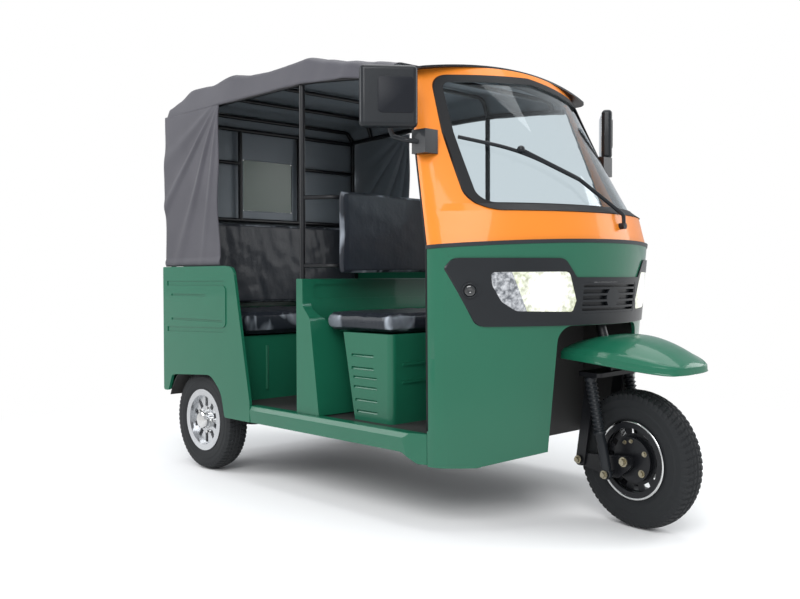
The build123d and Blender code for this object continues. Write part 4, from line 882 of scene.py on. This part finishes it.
wrapped_pad(
    "seat_pad_driver",
    in_frame(-1.163, -0.556, 0.7115),
    in_frame(-0.768, 0.556, 0.797),
    2,
    "driver_cushion",
    wrinkle=0.0035,
    loose=0.15,
)
wrapped_pad(
    "back_pad_driver",
    in_frame(-1.126, -0.528, 0.952),
    in_frame(-1.080, 0.528, 1.298),
    0,
    "driver_backrest",
    wrinkle=0.0012,
)
wrapped_pad(
    "seat_pad_rear",
    in_frame(-2.203, -0.574, 0.6615),
    in_frame(-1.725, 0.574, 0.782),
    2,
    "rear_cushion",
    wrinkle=0.005,
    loose=0.15,
)
wrapped_pad(
    "back_pad_rear",
    in_frame(-2.300, -0.574, 0.795),
    in_frame(-2.232, 0.574, 1.228),
    0,
    "rear_backrest",
    wrinkle=0.002,
    lean=0.05,
    folds=0.008,
    loose=0.05,
)

# Front mudguard: one pressed steel shell like a duck's bill, with a turned-down skirt and a
# rolled hem, carried on a bracket that stands on the fork's crown plate. Each row: x from the
# axle, half width, and the heights of the hem, the shoulder and the crown.
GUARD_LONG = 110
GUARD_WIDE = 80
SKIRT_SHARE = 0.8
PLATE_THICK = 0.004
GUARD_ROWS = [
    (-0.215, 0.178, 0.636, 0.662, 0.694),
    (-0.140, 0.187, 0.634, 0.661, 0.711),
    (-0.060, 0.190, 0.630, 0.657, 0.720),
    (0.020, 0.182, 0.623, 0.650, 0.718),
    (0.095, 0.166, 0.614, 0.640, 0.702),
    (0.160, 0.144, 0.606, 0.631, 0.678),
    (0.208, 0.120, 0.600, 0.624, 0.653),
    (0.237, 0.096, 0.597, 0.620, 0.636),
    (0.248, 0.071, 0.596, 0.618, 0.627),
    (0.253, 0.038, 0.595, 0.617, 0.622),
    (0.2545, 0.001, 0.595, 0.616, 0.620),
]


def guard_row(share):
    """One place along the mudguard on a smooth line through its rows."""
    place = share * (len(GUARD_ROWS) - 1)
    index = min(int(place), len(GUARD_ROWS) - 2)
    t = place - index
    before = GUARD_ROWS[max(index - 1, 0)]
    here = GUARD_ROWS[index]
    after = GUARD_ROWS[index + 1]
    beyond = GUARD_ROWS[min(index + 2, len(GUARD_ROWS) - 1)]
    row = []
    for a, b, c, d in zip(before, here, after, beyond):
        bend = (2 * a - 5 * b + 4 * c - d) * t**2 + (3 * b - a - 3 * c + d) * t**3
        row.append(0.5 * (2 * b + (c - a) * t + bend))
    return row


shape = bmesh.new()
bmesh.ops.create_grid(shape, x_segments=GUARD_LONG, y_segments=GUARD_WIDE, size=0.5)
crease = set()
for vert in shape.verts:
    x, half, hem, shoulder, crown = guard_row(vert.co.x + 0.5)
    v = vert.co.y * 2
    side = 1 if v > 0 else -1
    reach = abs(v)
    if reach > SKIRT_SHARE:
        down = (reach - SKIRT_SHARE) / (1 - SKIRT_SHARE)
        y = half - 0.002 * (1 - down) ** 2 + 0.003 * max(0.0, down - 0.8) / 0.2
        z = shoulder + (hem - shoulder) * down
    else:
        y = (half - 0.002) * reach / SKIRT_SHARE
        dome = 1 - (reach / SKIRT_SHARE) ** 2.5
        z = shoulder + (crown - shoulder) * dome
        z += 0.004 * math.exp(-(((reach - 0.72) / 0.04) ** 2)) * min(1.0, half * 8)
    vert.co = in_frame(x, side * y, z)
    if abs(reach - SKIRT_SHARE) < 0.001:
        crease.add(vert)
for edge in shape.edges:
    if edge.verts[0] in crease and edge.verts[1] in crease:
        edge.smooth = False
bmesh.ops.remove_doubles(shape, verts=shape.verts, dist=1e-5)
bmesh.ops.transform(shape, matrix=STEERED, verts=shape.verts)
guard = piece("mudguard_shell", shape, GREEN, "steering")
plate = guard.modifiers.new("plate", "SOLIDIFY")
plate.thickness = PLATE_THICK
plate.offset = -1
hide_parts("front_mudguard")

BRACKET_X = -0.086
BRACKET_HALF = 0.052
BRACKET_LOW = 0.5835
BRACKET_HIGH = 0.700


def softened(shape, edges, offset, steps=2):
    """Rounds some edges of a mesh."""
    bmesh.ops.bevel(
        shape,
        geom=edges,
        offset=offset,
        segments=steps,
        affect="EDGES",
        profile=0.5,
        material=-1,
    )


shape = bmesh.new()
for side in (-1, 0, 1):
    tall = BRACKET_HIGH - BRACKET_LOW - (0.008 if side else 0.0)
    spot = in_frame(BRACKET_X, side * BRACKET_HALF, BRACKET_LOW + tall / 2)
    grow = Matrix.Diagonal((0.022, 0.008, tall, 1) if side else (0.006, 0.104, tall, 1))
    bmesh.ops.create_cube(shape, size=1.0, matrix=Matrix.Translation(spot) @ grow)
softened(shape, shape.edges[:], 0.002)
for side in (-1, 1):
    bolt(shape, in_frame(-0.081, side * 0.03, 0.640), (1, 0, 0), 0.007, 0.006)
bmesh.ops.transform(shape, matrix=STEERED, verts=shape.verts)
piece("mudguard_bracket", shape, BLACK_PAINT, "steering", smooth=False)

# Shock absorbers: a forged eye on the link's pin, a steel spring tube and above it a pleated
# rubber boot, clipped under the crown plate.
SHOCK_FOOT = Vector((-0.062, 0.108, 0.206))
SHOCK_TOP = Vector((-0.133, 0.108, 0.5655))
FITTING_STEPS = 40
PLEATS = 11
PLEAT_START = 0.455
PLEAT_STEP = 0.044
# Each point: share of the length from the foot up, and radius
shock_line = [
    (0.02, 0.001),
    (0.02, 0.0175),
    (0.05, 0.019),
    (0.40, 0.019),
    (0.405, 0.0235),
    (0.435, 0.0235),
    (0.44, 0.018),
]
for pleat in range(PLEATS):
    start = PLEAT_START + pleat * PLEAT_STEP
    for ahead, radius in ((0.0, 0.0165), (0.014, 0.0215), (0.020, 0.0235), (0.026, 0.0215)):
        shock_line.append((start + ahead, radius))
shock_line += [(0.945, 0.017), (0.955, 0.023), (0.995, 0.023), (0.995, 0.001)]
shock_run = (SHOCK_TOP - SHOCK_FOOT).length
EYE_LINE = [
    (-0.010, 0.0085),
    (-0.010, 0.019),
    (-0.008, 0.021),
    (0.008, 0.021),
    (0.010, 0.019),
    (0.010, 0.0085),
]
shocks = bmesh.new()
for side in (-1, 1):
    foot = Vector(in_frame(SHOCK_FOOT.x, side * SHOCK_FOOT.y, SHOCK_FOOT.z))
    leg = spun([(share * shock_run, radius) for share, radius in shock_line], FITTING_STEPS)
    turn = (SHOCK_TOP - SHOCK_FOOT).to_track_quat("Y", "X").to_matrix().to_4x4()
    bmesh.ops.transform(leg, matrix=Matrix.Translation(foot) @ turn, verts=leg.verts)
    eye = spun(EYE_LINE, FITTING_STEPS)
    bmesh.ops.transform(eye, matrix=Matrix.Translation(foot), verts=eye.verts)
    for part in (leg, eye):
        carrier = bpy.data.meshes.new("shock_part")
        part.to_mesh(carrier)
        part.free()
        shocks.from_mesh(carrier)
        bpy.data.meshes.remove(carrier)
bmesh.ops.transform(shocks, matrix=STEERED, verts=shocks.verts)
absorbers = piece("shock_absorbers", shocks, BLACK_PLASTIC, "steering")
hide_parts("front_shocks")

# Front rim's bright inside: a chromed dish on each side, rolled out to the lip ring, as points
# of distance along the axle and radius.
DISH_PROFILE = [
    (0.0440, 0.1345),
    (0.0400, 0.1225),
    (0.0260, 0.1192),
    (0.0260, 0.1184),
    (0.0410, 0.1205),
    (0.0452, 0.1320),
]
for side in (-1, 1):
    shape = spun([(side * across, radius) for across, radius in DISH_PROFILE], RIM_STEPS)
    bmesh.ops.transform(shape, matrix=FRONT_PLACE, verts=shape.verts)
    piece(f"front_rim_dish_{side + 1}", shape, CHROME, "front_wheel")

# Turn indicators in the lamp mask: a smoked round lens in a raised ring, set square to the
# mask's skin where a line from ahead meets it.
INDICATOR_Y = 0.563
INDICATOR_Z = 0.887
LENS_PROFILE = [
    (-0.004, 0.001),
    (-0.004, 0.0225),
    (0.0006, 0.0225),
    (0.0034, 0.014),
    (0.0044, 0.001),
]
RING_PROFILE = [
    (-0.004, 0.0225),
    (0.0026, 0.0230),
    (0.0034, 0.0250),
    (0.0024, 0.0275),
    (-0.006, 0.0285),
]
SMOKED = finish("smoked_lens", (20, 22, 24), (27, 29, 31), 20, 0.12, 120, 0.0006, coat=1.0)
mask = nodes["headlamp_mask"]
for side, word in SIDES:
    ahead = Vector((3.0, side * INDICATOR_Y, INDICATOR_Z))
    _, spot, facing, _ = mask.ray_cast(ahead, Vector((-1, 0, 0)))
    square = Matrix.Translation(spot) @ facing.to_track_quat("Y", "Z").to_matrix().to_4x4()
    for role, profile, surface in (
        ("lens", LENS_PROFILE, SMOKED),
        ("ring", RING_PROFILE, BLACK_PLASTIC),
    ):
        shape = spun(profile, FITTING_STEPS)
        bmesh.ops.transform(shape, matrix=square, verts=shape.verts)
        piece(f"indicator_{role}_{word}", shape, surface, "body")

# Louvres of the driver's seat box: a slanted fin pressed into each slot. Each row: the slot's
# back and front, measured from the axle, and its low and high edges.
FIN_Y = 0.5430
FIN_TILT = math.radians(32)
LOUVRES = [
    (-1.003, -0.870, 0.560, 0.572),
    (-1.003, -0.870, 0.612, 0.624),
    (-0.992, -0.851, 0.524, 0.534),
    (-0.990, -0.851, 0.484, 0.495),
    (-0.980, -0.848, 0.432, 0.443),
    (-0.970, -0.847, 0.386, 0.397),
]
for side, word in SIDES:
    shape = bmesh.new()
    for back_x, front_x, low_z, high_z in LOUVRES:
        spot = in_frame((back_x + front_x) / 2, side * FIN_Y, (low_z + high_z) / 2)
        tilt = Matrix.Rotation(FIN_TILT * side, 4, "X")
        grow = Matrix.Diagonal((front_x - back_x - 0.001, 0.003, high_z - low_z + 0.003, 1))
        bmesh.ops.create_cube(shape, size=1.0, matrix=Matrix.Translation(spot) @ tilt @ grow)
    softened(shape, shape.edges[:], 0.0008)
    piece(f"louvre_fins_{word}", shape, GREEN, "body", smooth=False)

# Mirrors: a raised panel on the front of each housing and the glass in its back, both with
# rounded corners and turned with the housing.
MIRROR_TURN = math.radians(37)
MIRROR_CORNER = 0.016
MIRROR_FACE = finish("mirror_glass", (196, 204, 208), (190, 198, 203), 4, 0.03, 60, 0.0001, 1.0)
for side, word in SIDES:
    stand = Matrix.Translation(in_frame(-0.615, side * 0.705, 1.595))
    stand = stand @ Matrix.Rotation(MIRROR_TURN * side, 4, "Z")
    for role, spot, size, surface, slot_name in (
        ("panel", (0.0235, -0.026 * side, 0.004), (0.006, 0.134, 0.132), VISOR, "black_plastic"),
        ("glass", (-0.0235, 0, 0), (0.003, 0.180, 0.193), MIRROR_FACE, "plated_steel"),
    ):
        shape = bmesh.new()
        grow = Matrix.Diagonal((*size, 1))
        bmesh.ops.create_cube(shape, size=1.0, matrix=Matrix.Translation(spot) @ grow)
        corners = []
        for edge in shape.edges:
            run = edge.verts[0].co - edge.verts[1].co
            if abs(run.normalized().x) > 0.9:
                corners.append(edge)
        softened(shape, corners, MIRROR_CORNER, 6)
        softened(shape, shape.edges[:], 0.001)
        bmesh.ops.transform(shape, matrix=stand, verts=shape.verts)
        piece(f"mirror_{role}_{word}", shape, surface, "body")

# Rubber edging pressed over the cowl's trailing edges, from the floor up to the visor, in one
# run on each side. The cowl leans out up to the belt seam, then in and back above it.
EDGING_R = 0.0085
EDGING_IN = 0.007
LOWER_RUN = (0.372, 1.034)
UPPER_RUN = (1.054, 1.725)
LOWER_STEPS = 12
UPPER_STEPS = 13
COWL_FOOT_Z = 0.240
BELT_Z = 1.050
for side, word in SIDES:
    line = []
    for step in range(LOWER_STEPS + 1):
        z = LOWER_RUN[0] + (LOWER_RUN[1] - LOWER_RUN[0]) * step / LOWER_STEPS
        share = (z - COWL_FOOT_Z) / (BELT_Z - COWL_FOOT_Z)
        line.append((-0.505 + 0.019 * share, 0.615 + 0.026 * share - EDGING_IN, z))
    for step in range(UPPER_STEPS + 1):
        z = UPPER_RUN[0] + (UPPER_RUN[1] - UPPER_RUN[0]) * step / UPPER_STEPS
        rise = z - BELT_Z
        line.append((-0.486 - 0.328 * rise, 0.641 - 0.180 * rise - EDGING_IN, z))
    shape = bmesh.new()
    rings = []
    for x, y, z in line:
        made = bmesh.ops.create_circle(
            shape, segments=10, radius=EDGING_R, matrix=Matrix.Translation(in_frame(x, side * y, z))
        )
        rings.append(made["verts"])
    for ring_low, ring_high in zip(rings, rings[1:]):
        both = set(ring_low) | set(ring_high)
        loops = [edge for edge in shape.edges if both.issuperset(edge.verts)]
        bmesh.ops.bridge_loops(shape, edges=loops)
    ends = [edge for edge in shape.edges if edge.is_boundary]
    bmesh.ops.holes_fill(shape, edges=ends, sides=12)
    piece(f"door_edging_{word}", shape, RUBBER, "body")
